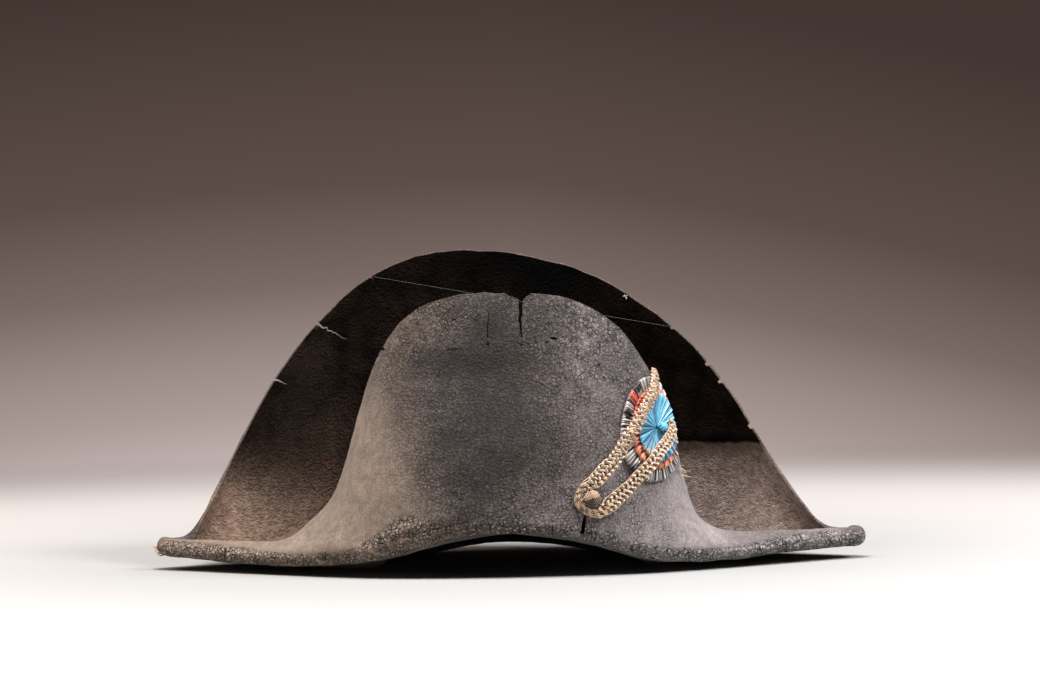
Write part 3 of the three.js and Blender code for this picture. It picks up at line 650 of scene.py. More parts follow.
def felt_material():
    """Faded black felt: a pebbled nap, flank faces made pale partly by dust and partly with painted light,
    warm on the left and bluish on the right as painted light from the side lamps, fine craquelure whose
    flakes get painted highlights, and a dark grainy inside, partly sooty and partly painted shade.
    """
    s = Shader("felt", Roughness=0.9, Sheen_Roughness=0.6)
    names = ("crackle", "inside", "dust_and_light", "dark", "cool_light_side", "bare_and_rim_light")
    crackle, inside, dust_and_light, dark, cool_light_side, bare_and_rim_light = (s.value(n) for n in names)
    for socket, outside, within in (("Specular IOR Level", 0.32, 0.03), ("Sheen Weight", 0.05, 0.0)):
        s.put(s.span(inside, 0, 1, outside, within), s.surface[socket])
    # painted shadow: above the crease on the right of the rear flap's inside, the felt loses its dust and is
    # darkened
    crease_shadow = s.product(s.value("crease_shadow_side"), s.above(CREASE_Z))
    dust_and_light = s.product(dust_and_light, s.sum(1.0, crease_shadow, "SUBTRACT"))
    dark = s.sum(dark, s.product(crease_shadow, 0.3))
    grain = s.noise(0.8, 3.0, rough=0.7)
    blotch = s.noise(15, 4.0)
    wide_blotch = s.noise(44, 2.0)
    mottle = s.noise(5, 3.0)
    bent = s.bent(4, 2.2)
    pebble = s.span(s.cells(1.6, bent, "F1"), 0.15, 0.8, 1, 0)

    black = s.mix(s.span(blotch, 0.3, 0.7), rgb(50, 44, 42), rgb(72, 65, 63))
    black = s.mix(s.span(wide_blotch, 0.5, 0.7, 0, 0.6), black, rgb(64, 52, 45))
    # painted light: these colours turn from warm on the left to bluish on the right, as the side lamps
    # colour the felt
    faded = s.mix(cool_light_side, rgb(118, 104, 93), rgb(132, 124, 123))
    faded = s.tone(faded, blotch, 0.75, 1.2)
    flake_highlight = s.mix(cool_light_side, rgb(184, 164, 146), rgb(176, 168, 164))
    outer = s.mix(dust_and_light, black, faded)
    # dark holds stains and painted shade: the bottom of the roll, the top of the rear flap's inside and the
    # dent listed as dark
    outer = s.mix(dark, outer, rgb(30, 25, 23))
    combed = s.noise(1.3, 2.0, s.turned((0, 0, 0), (1.0, 1.0, 0.16)))
    outer = s.tone(s.tone(outer, s.span(mottle, 0.3, 0.7), 0.86, 1.12), s.span(combed, 0.3, 0.7), 0.88, 1.1)
    speckled = s.tone(s.tone(outer, pebble, 0.58, 1.36), grain, 0.6, 1.36)
    outer = s.mix(s.product(dust_and_light, 0.85), speckled, outer)

    leather = s.turned((0, 33, 0), (0.8, 1.0, 1.0))
    folds = s.span(s.noise(2.2, 3.0, leather, rough=0.6), 0.3, 0.7)
    fibres = s.noise(0.6, 2.0, leather, rough=0.7)
    specks = s.span(s.cells(1.25, bent, "F1"), 0.1, 0.65, 1, 0)
    # the inside's dark colour is partly sooty and partly painted shade; dark takes it almost to black at the
    # top of the rear flap
    soot = s.mix(s.span(blotch, 0.3, 0.7), rgb(11, 7, 6), rgb(32, 23, 18))
    soot = s.mix(dark, soot, rgb(3, 2, 2))
    dust = s.mix(cool_light_side, rgb(134, 113, 99), rgb(139, 126, 119))
    dust = s.mix(s.span(blotch, 0.45, 0.75, 0, 0.5), dust, rgb(112, 95, 84))
    dust = s.tone(dust, s.span(mottle, 0.3, 0.7), 0.8, 1.2)
    sheltered = s.tone(s.mix(dust_and_light, soot, dust), folds, 0.88, 1.1)
    rough = s.tone(s.tone(sheltered, fibres, 0.5, 1.5), specks, 0.72, 1.34)
    sheltered = s.mix(s.product(dust_and_light, 0.7), rough, sheltered)
    color = s.mix(inside, outer, sheltered)

    cell = s.cells(2.6, bent)
    patchy = s.span(s.noise(9, 3.0), 0.32, 0.6)
    net = s.product(s.span(cell, 0.03, 0.13, 1, 0), patchy)
    fine = s.span(s.cells(1.7, bent), 0.03, 0.17, 1, 0)
    fine = s.product(fine, s.span(s.noise(5, 2.0), 0.42, 0.62, 0, 0.8))
    flake = s.span(s.cells(1.5, bent, "F1", "Color"), 0.45, 0.95)
    strong = s.span(crackle, 0.55, 1.0)
    # painted highlights: the crackle's flakes are lightened, and where the crackle is strong mixed toward a
    # pale colour, beside their real gloss
    color = s.tone(color, s.product(s.span(crackle, 0.25, 0.5), flake), 1.0, 1.75)
    color = s.mix(s.product(s.product(strong, flake), 0.78), color, flake_highlight)
    cracks = s.product(s.sum(net, fine, "MAXIMUM"), s.span(crackle, 0, 0.42))
    color = s.mix(cracks, color, rgb(22, 17, 14))
    color = s.mix(s.product(bare_and_rim_light, s.span(grain, 0.35, 0.65, 0.4, 1)), color, rgb(118, 82, 52))

    nap = s.sum(s.product(pebble, 0.3), s.product(grain, 0.2))
    nap = s.product(nap, s.span(dust_and_light, 0, 1, 1, 0.4))
    nap = s.product(nap, s.span(inside, 0, 1, 1, 0.2))
    hide = s.product(inside, s.sum(s.product(folds, 0.95), s.product(specks, 0.6)))
    hide = s.product(hide, s.span(dust_and_light, 0, 1, 1, 0.5))
    scales = s.product(strong, s.sum(s.span(cell, 0, 0.22, 0, 1.1), s.product(flake, 0.25)))
    scales = s.sum(scales, s.product(cracks, -0.4))
    gloss = s.span(s.product(strong, flake), 0, 1, 0.9, 0.5)
    return s.finish(color, s.sum(s.sum(nap, hide), scales), gloss)


def torn_material():
    """The raw, lighter core of the felt where it is torn."""
    s = Shader("torn_felt", Roughness=0.95, Specular_IOR_Level=0.2)
    grain = s.noise(0.8, 4.0)
    color = s.mix(s.span(grain, 0.3, 0.7), rgb(72, 60, 52), rgb(152, 136, 122))
    return s.finish(color, s.product(grain, 0.4))


def ribbon_material(name, light, dark, spot, threads, contrast):
    """Pleated silk: threads along each pleat, valleys darkened as painted shade, spots of another colour,
    and dark spots that are partly sooty marks and partly painted shade.
    """
    s = Shader(name, Roughness=0.42, Sheen_Weight=0.2, Sheen_Roughness=0.4, Specular_IOR_Level=0.5)
    across, _ = s.weave()
    thread = s.wave(s.sum(s.product(across, threads), s.product(s.noise(5), 0.8)))
    valley, soot, stain = s.value("valley"), s.value("soot"), s.value("stain")
    color = s.mix(stain, light, spot)
    color = s.tone(s.tone(color, s.noise(2.5), 0.8, 1.15), s.value("tint"), 0.5, 1.45)
    color = s.mix(s.product(s.span(thread, 0.1, 0.6, 1, 0), contrast), color, dark)
    # painted shade: the pleats' valleys are darkened
    color = s.mix(s.span(valley, 0.05, 0.75), color, dark)
    color = s.mix(soot, color, rgb(16, 13, 12))
    return s.finish(color, s.product(thread, 0.16))


def thread_material(name, turns, pitch, **finish):
    """Spun thread wound along a cord, in the tones that each cord was given; on the loop and the button
    these tones hold painted light and shade.
    """
    s = Shader(name, Specular_IOR_Level=0.35, **finish)
    around, length = s.weave()
    ply = s.wave(s.sum(s.product(around, turns), s.product(length, 1 / pitch)))
    tone = s.value("tone")
    color = s.mix(s.span(tone, 0, 0.5), rgb(42, 29, 21), rgb(192, 163, 136))
    color = s.mix(s.span(tone, 0.5, 1), color, rgb(240, 218, 194))
    color = s.tone(color, ply, 0.5, 1.15)
    color = s.tone(color, s.noise(3, 4.0), 0.7, 1.3)
    return s.finish(color, s.product(ply, 0.2))


def fibre_material():
    s = Shader("fibre", Roughness=0.8)
    tone = s.value("tone")
    color = s.mix(s.span(tone, 0, 0.5), rgb(122, 70, 40), rgb(190, 160, 110))
    color = s.mix(s.span(tone, 0.5, 1), color, rgb(232, 226, 216))
    red = s.value("red")
    return s.finish(s.mix(red, color, rgb(128, 34, 38)))


def felt_steps():
    """Heights v of the rings, with many where the felt bends."""
    ends = [0, CROWN_END, FILLET_END, FLOOR_END, FOLD_END, 1]
    spread = zip(ends, ends[1:], [11, 4, 6, 12, 40])
    return np.concatenate([np.linspace(low, high, count + 1)[1:] for low, high, count in spread])


def felt_stations(count=560, front_share=1.3):
    """Stations spaced evenly along the fold, closer together in front."""
    fine = np.linspace(0, len(SECTIONS), 8001)
    line = vectors(along("fold_x", fine), along("fold_y", fine), 0)
    weight = np.where(fine[:-1] < REAR_START, front_share, 1.0)
    run = run_along(line, weight)
    return np.interp(np.linspace(0, run[-1], count, endpoint=False), run, fine)


def lumps(points, size, seed):
    """Noise of about -1 to 1 at each point."""
    shift = Vector((seed * 17.3, seed * 5.1, seed * 9.7))
    return np.array([noise.fractal(Vector(p) / size + shift, 1.0, 2.0, 3) for p in points])


def stain(points, side, sign):
    """How dark (sign -1) or pale (sign 1) the stains and the patches of painted light and shade make each
    point of the felt.
    """
    x, y, z = points.T
    share = np.zeros(len(points))
    for flap, middle_x, middle_z, wide, high, strength in STAINS_AND_PAINTED_LIGHT:
        on_face = (flap * y > 0) & (flap * side <= 0)
        share += on_face * max(0, sign * strength) * hump(x, z, middle_x, middle_z, wide, high)
    return share


def felt_values(points, station, v, side):
    """Where the felt is crackled, sheltered, dusted, stained and worn through to its brown core, and where
    light and shade are painted: paler sides of the front, its warmer left and bluer right, a lighter rim,
    shade at the bottom of the roll and at the top of the rear flap's inside, the side where the shadow above
    the crease goes, and the patches listed as painted light.
    """
    x, y, z = points.T
    front = smooth(10, -14, y)
    outer = np.clip(side, 0, 1)
    inside = np.clip(-side, 0, 1)
    rise = z - along("fold_z", station)
    wall = v > FLOOR_END - 0.02
    band = 6.5 + 13 * hump(x, x, -68, -68, 28, 28) + 3 * smooth(130, 185, np.abs(x))
    low = smooth(1.25, 0.55, rise / band) * (0.3 + 0.7 * front) * (1 - 0.5 * hump(x, x, 16, 16, 44, 44))
    upper = 0.24 * hump(x, z, -40, 160, 44, 24) + 0.2 * hump(x, z, 36, 158, 40, 18) + 0.38
    # painted light and dust: the sides of the front are made paler, partly as dust and partly as light from
    # the side lamps
    left_flank = smooth(-36, -96, x + 0.25 * (z - 90))
    right_flank = 0.18 * smooth(10, 50, x) + 0.52 * smooth(70, 132, x)
    flank_dust_and_light = front * outer * np.clip(left_flank + right_flank, 0, 1) * smooth(190, 150, z)
    plain = np.clip(left_flank + 1.2 * right_flank, 0, 1) * smooth(140, 90, z)
    crackle = outer * wall * np.clip(low + front * upper * (1 - plain), 0, 1)
    # painted shade: the outside is darkened along the bottom of the roll in the middle, where it faces down
    # into shadow
    under = outer * smooth(7, 1, rise) * hump(x, x, 10, 10, 70, 70)
    left_dust = 0.8 * smooth(100, 8, z + 0.25 * (x + 150)) ** 1.8
    right_dust = 0.66 + 0.1 * smooth(60, 20, z)
    dust = inside * np.where(x > 0, right_dust, left_dust) * smooth(30, 70, np.abs(x))
    # painted shade: the top of the rear flap's inside is darkened, where it leans forward out of the light
    deep = inside * hump(x, z, 10, 210, 110, 40)
    tips = 0.7 * smooth(-226, -231, x) + 0.5 * smooth(227, 231, x)
    # painted highlight: the felt's cut rim is lightened toward the brown core colour, as where it catches
    # the light
    edge = (1 - np.abs(side)) * 0.12
    return {
        "crackle": crackle,
        "inside": inside,
        "dust_and_light": np.clip(flank_dust_and_light + dust + 0.5 * outer * wall * low + stain(points, side, 1), 0, 1),
        "dark": np.clip(deep + 0.5 * under + stain(points, side, -1), 0, 1),
        # painted light: 0 on the left, warmed by the left lamp, to 1 on the right, cooled by the right lamp
        "cool_light_side": smooth(-40, 60, x),
        "bare_and_rim_light": np.clip(tips + edge, 0, 1),
        # where the painted shadow above the rear flap's crease may fall
        "crease_shadow_side": inside * (v > FOLD_END) * (y > 0) * smooth(0, 25, x),
    }


def felt_pile():
    steps, stations = felt_steps(), felt_stations()
    v, station = (grid.ravel() for grid in np.meshgrid(steps, stations, indexing="ij"))
    worn = 0.9 * np.array([noise.noise(Vector((s * 1.7, 0.3, 0.9))) for s in station])
    wall_share = np.clip((v - FOLD_END) / (1 - FOLD_END), 0, 1)
    v = v - wall_share * np.abs(worn) * 0.0035
    middle = felt_point(station, v)
    normal = felt_normal(station, v)
    shape = (len(steps), len(stations), 3)

    top, foot = (felt_point(station, np.full_like(v, level)) for level in (1.0, FOLD_END))
    wall_length = np.linalg.norm(top - foot, axis=1)
    half = FELT / 2 * (0.55 + 0.45 * smooth(0, 7, (1 - v) / (1 - FOLD_END) * wall_length))

    def face(side):
        swell = 0.3 * lumps(middle, 9, side) + 0.45 * lumps(middle, 26, side + 4)
        points = middle + normal * (side * half + swell * smooth(0.3, 0.45, v))[:, None]
        points[:, 2] = np.maximum(points[:, 2], 0)
        return points

    outer, inner = face(1), face(-1)
    last = slice(-len(stations), None)
    out = unit(middle[last] - felt_point(station[last], v[last] - 0.002))
    rim = []
    for angle in np.radians([40, 90, 140]):
        across = normal[last] * (half[last, None] * math.cos(angle))
        rim.append(middle[last] + across + out * (EDGE_ROUNDING * math.sin(angle)))
    rings = np.concatenate([outer.reshape(shape), rim, inner.reshape(shape)[::-1]])
    poles = [np.array([0, 0, CROWN_TOP - side * FELT / 2]) for side in (1, -1)]
    points, faces = loft(rings, *poles)

    back = np.arange(len(v)).reshape(shape[:2])[::-1].ravel()
    rim_station, rim_v = np.tile(station[last], 3), np.tile(v[last], 3)
    all_station = np.concatenate([station, rim_station, station[back], [0, 0]])
    all_v = np.concatenate([v, rim_v, v[back], [0, 0]])
    side = np.concatenate([np.ones(len(v)), np.zeros(len(rim_v)), -np.ones(len(v)), [1, -1]])
    pile = Pile()
    pile.add(points, faces, **felt_values(points, all_station, all_v, side))
    return pile


def jagged(path, step, rough, rng):
    """The path with ragged points between its own."""
    path = np.array(path, float)
    run = run_along(path[:, :2])
    places = np.linspace(0, run[-1], max(3, int(run[-1] / step) + 1))
    made = np.stack([np.interp(places, run, path[:, k]) for k in range(3)], axis=1)
    narrow = np.minimum(1, 1.2 / made[1:-1, 2:])
    made[1:-1, :2] += narrow * [[rng.uniform(-rough, rough) for _ in range(2)] for _ in made[1:-1]]
    return made


def slit(path, near, far, taper):
    """A ragged slab through the felt along Y, wide at its near side."""
    ahead = unit(np.gradient(path[:, :2], axis=0))
    across = np.stack([-ahead[:, 1], ahead[:, 0]], axis=1)
    rings = []
    for (x, z, half), (ax, az) in zip(path, across):
        corners = []
        for y, share, sign in ((near, 1, 1), (far, taper, 1), (far, taper, -1), (near, 1, -1)):
            corners.append((x + sign * ax * half * share, y, z + sign * az * half * share))
        rings.append(corners)
    return loft(rings, np.mean(rings[0], axis=0), np.mean(rings[-1], axis=0))


def tear(body, torn):
    """Cuts the tears out of the felt; the cut faces take the torn material."""
    rng = random.Random(5)
    pile = Pile()
    for cut in TEARS:
        for path in cut["paths"]:
            ragged = jagged(path, TEAR_STEP, cut.get("rough", TEAR_ROUGH), rng)
            pile.add(*slit(ragged, cut["near"], cut["far"], cut["taper"]))
    cutter = bpy.data.objects.new("cutter", mesh_of("cutter", pile, torn))
    bpy.context.scene.collection.objects.link(cutter)
    boolean = body.modifiers.new("tears", "BOOLEAN")
    boolean.operation = "DIFFERENCE"
    boolean.solver = "MANIFOLD"
    boolean.material_mode = "TRANSFER"
    boolean.object = cutter
    made = bpy.data.meshes.new_from_object(body.evaluated_get(bpy.context.evaluated_depsgraph_get()))
    body.modifiers.clear()
    body.data = made
    bpy.data.objects.remove(cutter)


def carry_values(mesh, pile):
    """Gives each point of the cut mesh the values of the nearest point before the cut."""
    tree = kdtree.KDTree(len(pile.points))
    for i, p in enumerate((pile.points + PLACE) * MM):
        tree.insert(p, i)
    tree.balance()
    nearest = np.array([tree.find(v.co)[1] for v in mesh.vertices])
    for name in [a.name for a in mesh.attributes if a.name in pile.values]:
        mesh.attributes.remove(mesh.attributes[name])
    put_values(mesh, {name: value[nearest] for name, value in pile.values.items()})


def felt_body():
    pile = felt_pile()
    body = show("felt", mesh_of("felt", pile, felt_material(), tidy=False), "felt_body")
    tear(body, torn_material())
    carry_values(body.data, pile)
    body.data.shade_smooth()
    body.data.set_sharp_from_angle(angle=math.radians(48))


hub, hub_right, hub_up, hub_out = felt_frame(HUB_STATION, HUB_V)
hub = hub + hub_out * FELT / 2
button_middle, button_right, button_up, button_out = felt_frame(BUTTON_STATION, BUTTON_V)


def on_flap(a, b, d):
    """A point in the cockade's frame: a to the right along the felt, b up, d out from it."""
    outer = np.multiply.outer
    return hub + outer(a, hub_right) + outer(b, hub_up) + outer(d, hub_out)


def cockade_base(a, b):
    off = a - COCKADE_MIDDLE
    bend = np.where(off < 0, COCKADE_BEND_LEFT, COCKADE_BEND_RIGHT)
    return COCKADE_LIFT - off**2 / (2 * bend) - COCKADE_TWIST * a * b


def near_spots(a, b, kind):
    """How much each place on the cockade takes of one kind of spot, from 0 to 1."""
    return smooth(0.3, 0.55, np.max([hump(a, b, *spot) for spot in COCKADE_SPOTS[kind]], axis=0))


def pleated_ring(rows, bundles, seed, stain):
    """A closed ring of pleated ribbon: each pleat a ridge of thread bundles with a deep, narrow valley."""
    rng = np.random.default_rng(seed)
    steps = 8 * bundles
    around = PLEATS * steps
    radius, under, thick, pleat = np.array(rows, float).T
    lean = rng.uniform(-0.1, 0.1, PLEATS)
    swell = rng.uniform(0.75, 1.1, PLEATS)
    reach = rng.uniform(-0.5, 0.4, PLEATS)

    index = np.arange(around) // steps
    f = np.arange(around) % steps / steps
    crest = PLEAT_CREST + lean[index]
    falling = np.cos(math.pi / 2 * (f - crest) / (1 - crest))
    ridge = np.where(f < crest, np.sin(math.pi / 2 * f / crest), falling)
    ridge = np.clip(ridge, 0, 1) ** 0.6
    bundle = np.abs(np.sin(math.pi * f * bundles)) ** 0.7
    tint = rng.uniform(0, 1, PLEATS * bundles)[np.arange(around) * bundles // steps]
    ridge = ridge * (0.35 + 0.65 * bundle)
    angle = 2 * math.pi * (index + f) / PLEATS

    def ring(r, drop):
        """drop: 0 on the top side, 1 on the underside."""
        share = (r - radius[0]) / (radius[-1] - radius[0])
        round_off = reach[index] * ridge * smooth(0.6, 1, share)
        across = COCKADE_NARROW * (r + round_off) * np.cos(angle)
        upward = (r + round_off) * np.sin(angle)
        a = COCKADE_SHIFT + across * math.cos(COCKADE_TURN) - upward * math.sin(COCKADE_TURN)
        b = across * math.sin(COCKADE_TURN) + upward * math.cos(COCKADE_TURN)
        low, full, high = (np.interp(r, radius, column) for column in (under, thick, pleat))
        valley = 0.4 * full
        top = valley + (full - valley + high * swell[index]) * ridge
        edge = math.sqrt(max(1 - ((share - 0.94) / 0.07) ** 2, 0.05)) if share > 0.94 else 1.0
        return on_flap(a, b, cockade_base(a, b) + low + top * edge * (1 - drop)), a, b

    radii = np.concatenate([np.linspace(radius[0], radius[-1], 22), [radius[-1] + 0.15]])
    made = [ring(r, 0) for r in radii] + [ring(r, 1) for r in radii[::-1]]
    points, faces = loft([m[0] for m in made], wrap=True)
    a, b = (np.concatenate([m[k] for m in made]) for k in (1, 2))
    length = np.concatenate([radii, radii[::-1]])
    pile = Pile()
    # how far each point lies down a pleat's valley, which the material darkens as painted shade
    valley = np.tile((1 - ridge) ** 1.3, len(made))
    corners = weave_corners(faces, around, len(made), PLEATS * bundles, length)
    pile.add(points, faces, corners, valley=valley, tint=np.tile(tint, len(made)),
             soot=near_spots(a, b, "soot"), stain=near_spots(a, b, stain))
    return pile


def cockade():
    looks = {
        "white": ("felt", 3, rgb(208, 202, 194), rgb(44, 40, 39), rgb(226, 92, 66), 2, 0.8),
        "red": ("ribbon_white", 2, rgb(240, 152, 112), rgb(104, 34, 22), rgb(198, 36, 24), 1, 0.4),
        "blue": ("ribbon_red", 2, rgb(114, 196, 230), rgb(6, 44, 70), rgb(246, 196, 140), 1, 0.55),
    }
    for seed, (color, (below, bundles, *look)) in enumerate(looks.items(), 3):
        name, node, rows = "ribbon_" + color, "cockade_" + color, RINGS[color]
        mesh = mesh_of(node, pleated_ring(rows, bundles, seed, color), ribbon_material(name, *look))
        ring = show(name, mesh, node)


def dome(rows, place, right, up, out, foot, relief, around):
    """A low dome on a flat foot. relief(x, y, share) moves its surface in and out."""
    rows = np.array(rows, float)
    run = np.linspace(0, len(rows) - 1, 5 * (len(rows) - 1) + 1)
    radius = np.interp(run, np.arange(len(rows)), rows[:, 0])
    height = np.interp(run, np.arange(len(rows)), rows[:, 1])
    angle = np.linspace(0, 2 * math.pi, around, endpoint=False)
    rings, tones = [], []
    for r, h in zip(radius, height):
        x, y = r * np.cos(angle), r * np.sin(angle)
        swell, tone = relief(x, y, h / rows[-1, 1])
        ring = place + np.outer(x + swell * np.cos(angle), right) + np.outer(y + swell * np.sin(angle), up)
        rings.append(ring + np.multiply.outer(foot + h + swell, out))
        tones.append(tone)
    points, faces = loft(rings, place + out * foot, place + out * (foot + rows[-1, 1] + 0.05))
    pile = Pile()
    corners = weave_corners(faces, around, len(rings), 1, run)
    pile.add(points, faces, corners, tone=np.concatenate([*tones, [tones[0][0], tones[-1][0]]]))
    return pile


def knot():
    def relief(x, y, share):
        twist = 9 * np.arctan2(y, x) + 5 * share
        return 0.16 * np.cos(twist) * math.sin(math.pi * (0.1 + 0.8 * share)), 0.5 + 0.5 * np.cos(twist)

    pile = dome(KNOT_ROWS, on_flap(KNOT_A, KNOT_B, 0.0), hub_right, hub_up, hub_out, KNOT_FOOT, relief, 108)
    tone = pile.values["tone"]
    # the hollows between the knot's twists get painted shade through valley
    pile.values.update(valley=0.5 * (1 - tone), tint=0.5 + 0.5 * tone, soot=0 * tone, stain=0 * tone)
    material = ribbon_material("ribbon_knot", rgb(112, 200, 234), rgb(8, 62, 94), rgb(112, 200, 234), 9, 0.4)
    show("ribbon_knot", mesh_of("ribbon_knot", pile, material), "cockade_knot")


def button():
    """A domed button wound with thread in four fields, each field's threads lying square to its middle; the
    fields' tones are painted light and shade, lit at the top and shaded at the right and bottom.
    """
    # painted light and shade: the top field lit, the left half lit, the right and bottom fields in shade
    field_light_and_shade = np.array([0.1, 0.44, 0.3, 0.05])  # right, top, left and bottom

    def relief(x, y, share):
        turn = math.radians(-32)
        across, along_up = x * math.cos(turn) + y * math.sin(turn), y * math.cos(turn) - x * math.sin(turn)
        sideways = np.abs(across) > np.abs(along_up)
        depth = np.where(sideways, np.abs(across), np.abs(along_up))
        thread = np.cos(2 * math.pi * depth / 1.15 + 0.5 * np.sin(1.3 * across))
        field = np.where(sideways, np.where(across > 0, 0, 2), np.where(along_up > 0, 1, 3))
        return 0.22 * thread * min(1, 8 * share), np.clip(field_light_and_shade[field] + 0.24 * thread, 0, 1)

    pile = dome(BUTTON_ROWS, button_middle, button_right, button_up, button_out, FELT / 2 + GAP, relief, 160)
    material = thread_material("button_thread", 40, 9.0, Roughness=0.7)
    show("wound_button", mesh_of("wound_button", pile, material), "button")


def loop_path():
    """The loop's middle line with its side and lift directions, sizes by step, and run in millimetres."""
    row = np.linspace(0, len(LOOP) - 1, LOOP_STEPS + 1)
    sizes = {n: np.interp(row, np.arange(len(LOOP)), LOOP[:, k]) for k, n in enumerate(LOOP_COLUMNS)}
    knots = on_flap(LOOP[:, 0], LOOP[:, 1], LOOP[:, 2])
    knots = np.vstack([2 * knots[0] - knots[1], knots, 2 * knots[-1] - knots[-2]])
    low = np.minimum(np.floor(row).astype(int), len(LOOP) - 2)
    f = (row - low)[:, None]
    path = spline(*(knots[low + k] for k in range(4)), f)
    near = np.clip(1 - np.abs(row - LOOP_BEND) / (LOOP_BEND - 2), 0, 1)
    share = np.minimum(1, 1.4 * near)[:, None]
    out = unit(hub_out * (1 - share) + button_out * share)
    forward = unit(np.gradient(path, axis=0))
    side = unit(np.cross(forward, out))
    return path, side, np.cross(side, forward), sizes, run_along(path)


def braid():
    """A flat plait of five strands, each of two spun cords, that runs out into smooth cords at the bend."""
    path, side, lift, sizes, run = loop_path()
    rng = random.Random(11)
    pile = Pile()
    half = sizes["wide"] / 2
    middle = sizes["thick"] / 2
    plait = sizes["plait"]
    strand_half = np.minimum(PLAIT_CORDS * CORD_WIDE, half * 0.55)
    swing = half - strand_half
    weave = np.maximum(middle - CORD_HIGH, 0.3)
    ends = 0.25 * smooth(9, 0, np.minimum(run, run[-1] - run))

    def add_cord(across, up, wide, high, sides, tone):
        line = path + side * across[:, None] + lift * up[:, None]
        forward = unit(np.gradient(line, axis=0))
        wide_way = unit(np.cross(forward, lift))
        tone = np.clip(tone, 0, 1)
        pile.add_tube(line, wide_way, np.cross(wide_way, forward), wide, high, sides,
                      tone=np.concatenate([np.repeat(tone, sides), tone[[0, -1]]]))

    for k in range(PLAIT_STRANDS):
        phase = 2 * math.pi * (run / PLAIT_PITCH + k / PLAIT_STRANDS)
        lane = (k - (PLAIT_STRANDS - 1) / 2) * half * 0.6
        over = np.sin((PLAIT_STRANDS - 1) * phase + 0.6)
        tone = rng.uniform(0.5, 0.72)
        for cord in range(PLAIT_CORDS):
            place = cord - (PLAIT_CORDS - 1) / 2
            across = plait * (swing * np.cos(phase)) + (1 - plait) * lane
            across = across + place * strand_half * 2 / PLAIT_CORDS
            crown = 0.1 * place * plait
            up = middle + weave * over * (0.35 + 0.65 * plait) + crown
            drift = np.array([0.4 * noise.noise(Vector((r / 4.0, k * 7.7, cord * 3.1))) for r in run])
            # painted light and shade: a cord is lighter where it crosses over and darker where it passes
            # under
            shade = tone + np.where(over > 0, 0.16, 0.7 * plait) * over + 0.1 * place + drift
            shade = shade - 0.36 * (1 - plait) - ends
            wander = np.array([0.36 * noise.noise(Vector((r / 3.1, k * 5.3, cord * 9.1))) for r in run])
            wide = CORD_WIDE * (0.75 + 0.25 * plait)
            add_cord(across + wander, up + 0.4 * wander, wide, CORD_HIGH, 8, shade)
    upper = smooth(LOOP_BEND - 4, LOOP_BEND - 6, np.linspace(0, len(LOOP) - 1, len(run)))
    for edge in (-1, 1):
        sway = np.cos(2 * math.pi * run / 8.6 + edge)
        reach = half * (0.9 * upper * sway + (1 - upper) * edge)
        lattice = upper * (weave + 0.7 - 1.1 * np.abs(sway) ** 3)
        add_cord(reach - 0.3 * upper * half, middle + lattice, 0.3, 0.3, 7, 0.66 + 0.1 * sway)
    binding(pile, path, side, lift, sizes)
    mesh = mesh_of("plaited_loop", pile, thread_material("braid", 2, 1.5, Roughness=0.5, Metallic=0.1))
    show("plaited_loop", mesh, "loop_braid")


def binding(pile, path, side, lift, sizes):
    """Brown thread wound round the cords at the bend."""
    at = int(BINDING_ROW / (len(LOOP) - 1) * LOOP_STEPS)
    turns, count = 6, 96
    angle = np.linspace(0, 2 * math.pi * turns, count)[:, None]
    forward = unit(path[at + 2] - path[at - 2])
    wide, high = sizes["wide"][at] / 2 + 0.1, sizes["thick"][at] / 2 + 0.05
    middle = path[at] + lift[at] * sizes["thick"][at] / 2 + forward * np.linspace(-1.7, 1.7, count)[:, None]
    line = middle + side[at] * wide * np.cos(angle) + lift[at] * high * np.sin(angle)
    ahead = unit(np.gradient(line, axis=0))
    outward = unit(line - middle)
    pile.add_tube(line, unit(np.cross(ahead, outward)), outward, 0.3, 0.3, 6, tone=0.22)


def strand(start, heading, length, curl, rng):
    """Points of one loose fibre that bends away from its heading."""
    way = unit(np.array(heading, float))
    bend = np.array([rng.uniform(-1, 1) for _ in range(3)]) * curl
    steps = np.linspace(0, 1, 9)[:, None]
    return np.array(start, float) + way * steps * length + bend * steps**2 * length


def add_fibre(pile, points, half, **values):
    forward = unit(np.gradient(points, axis=0))
    side = unit(np.cross(forward, np.array([0.31, 0.52, 0.79])))
    taper = half * np.linspace(1, 0.5, len(points))
    pile.add_tube(points, side, np.cross(side, forward), taper, taper, 5, **values)


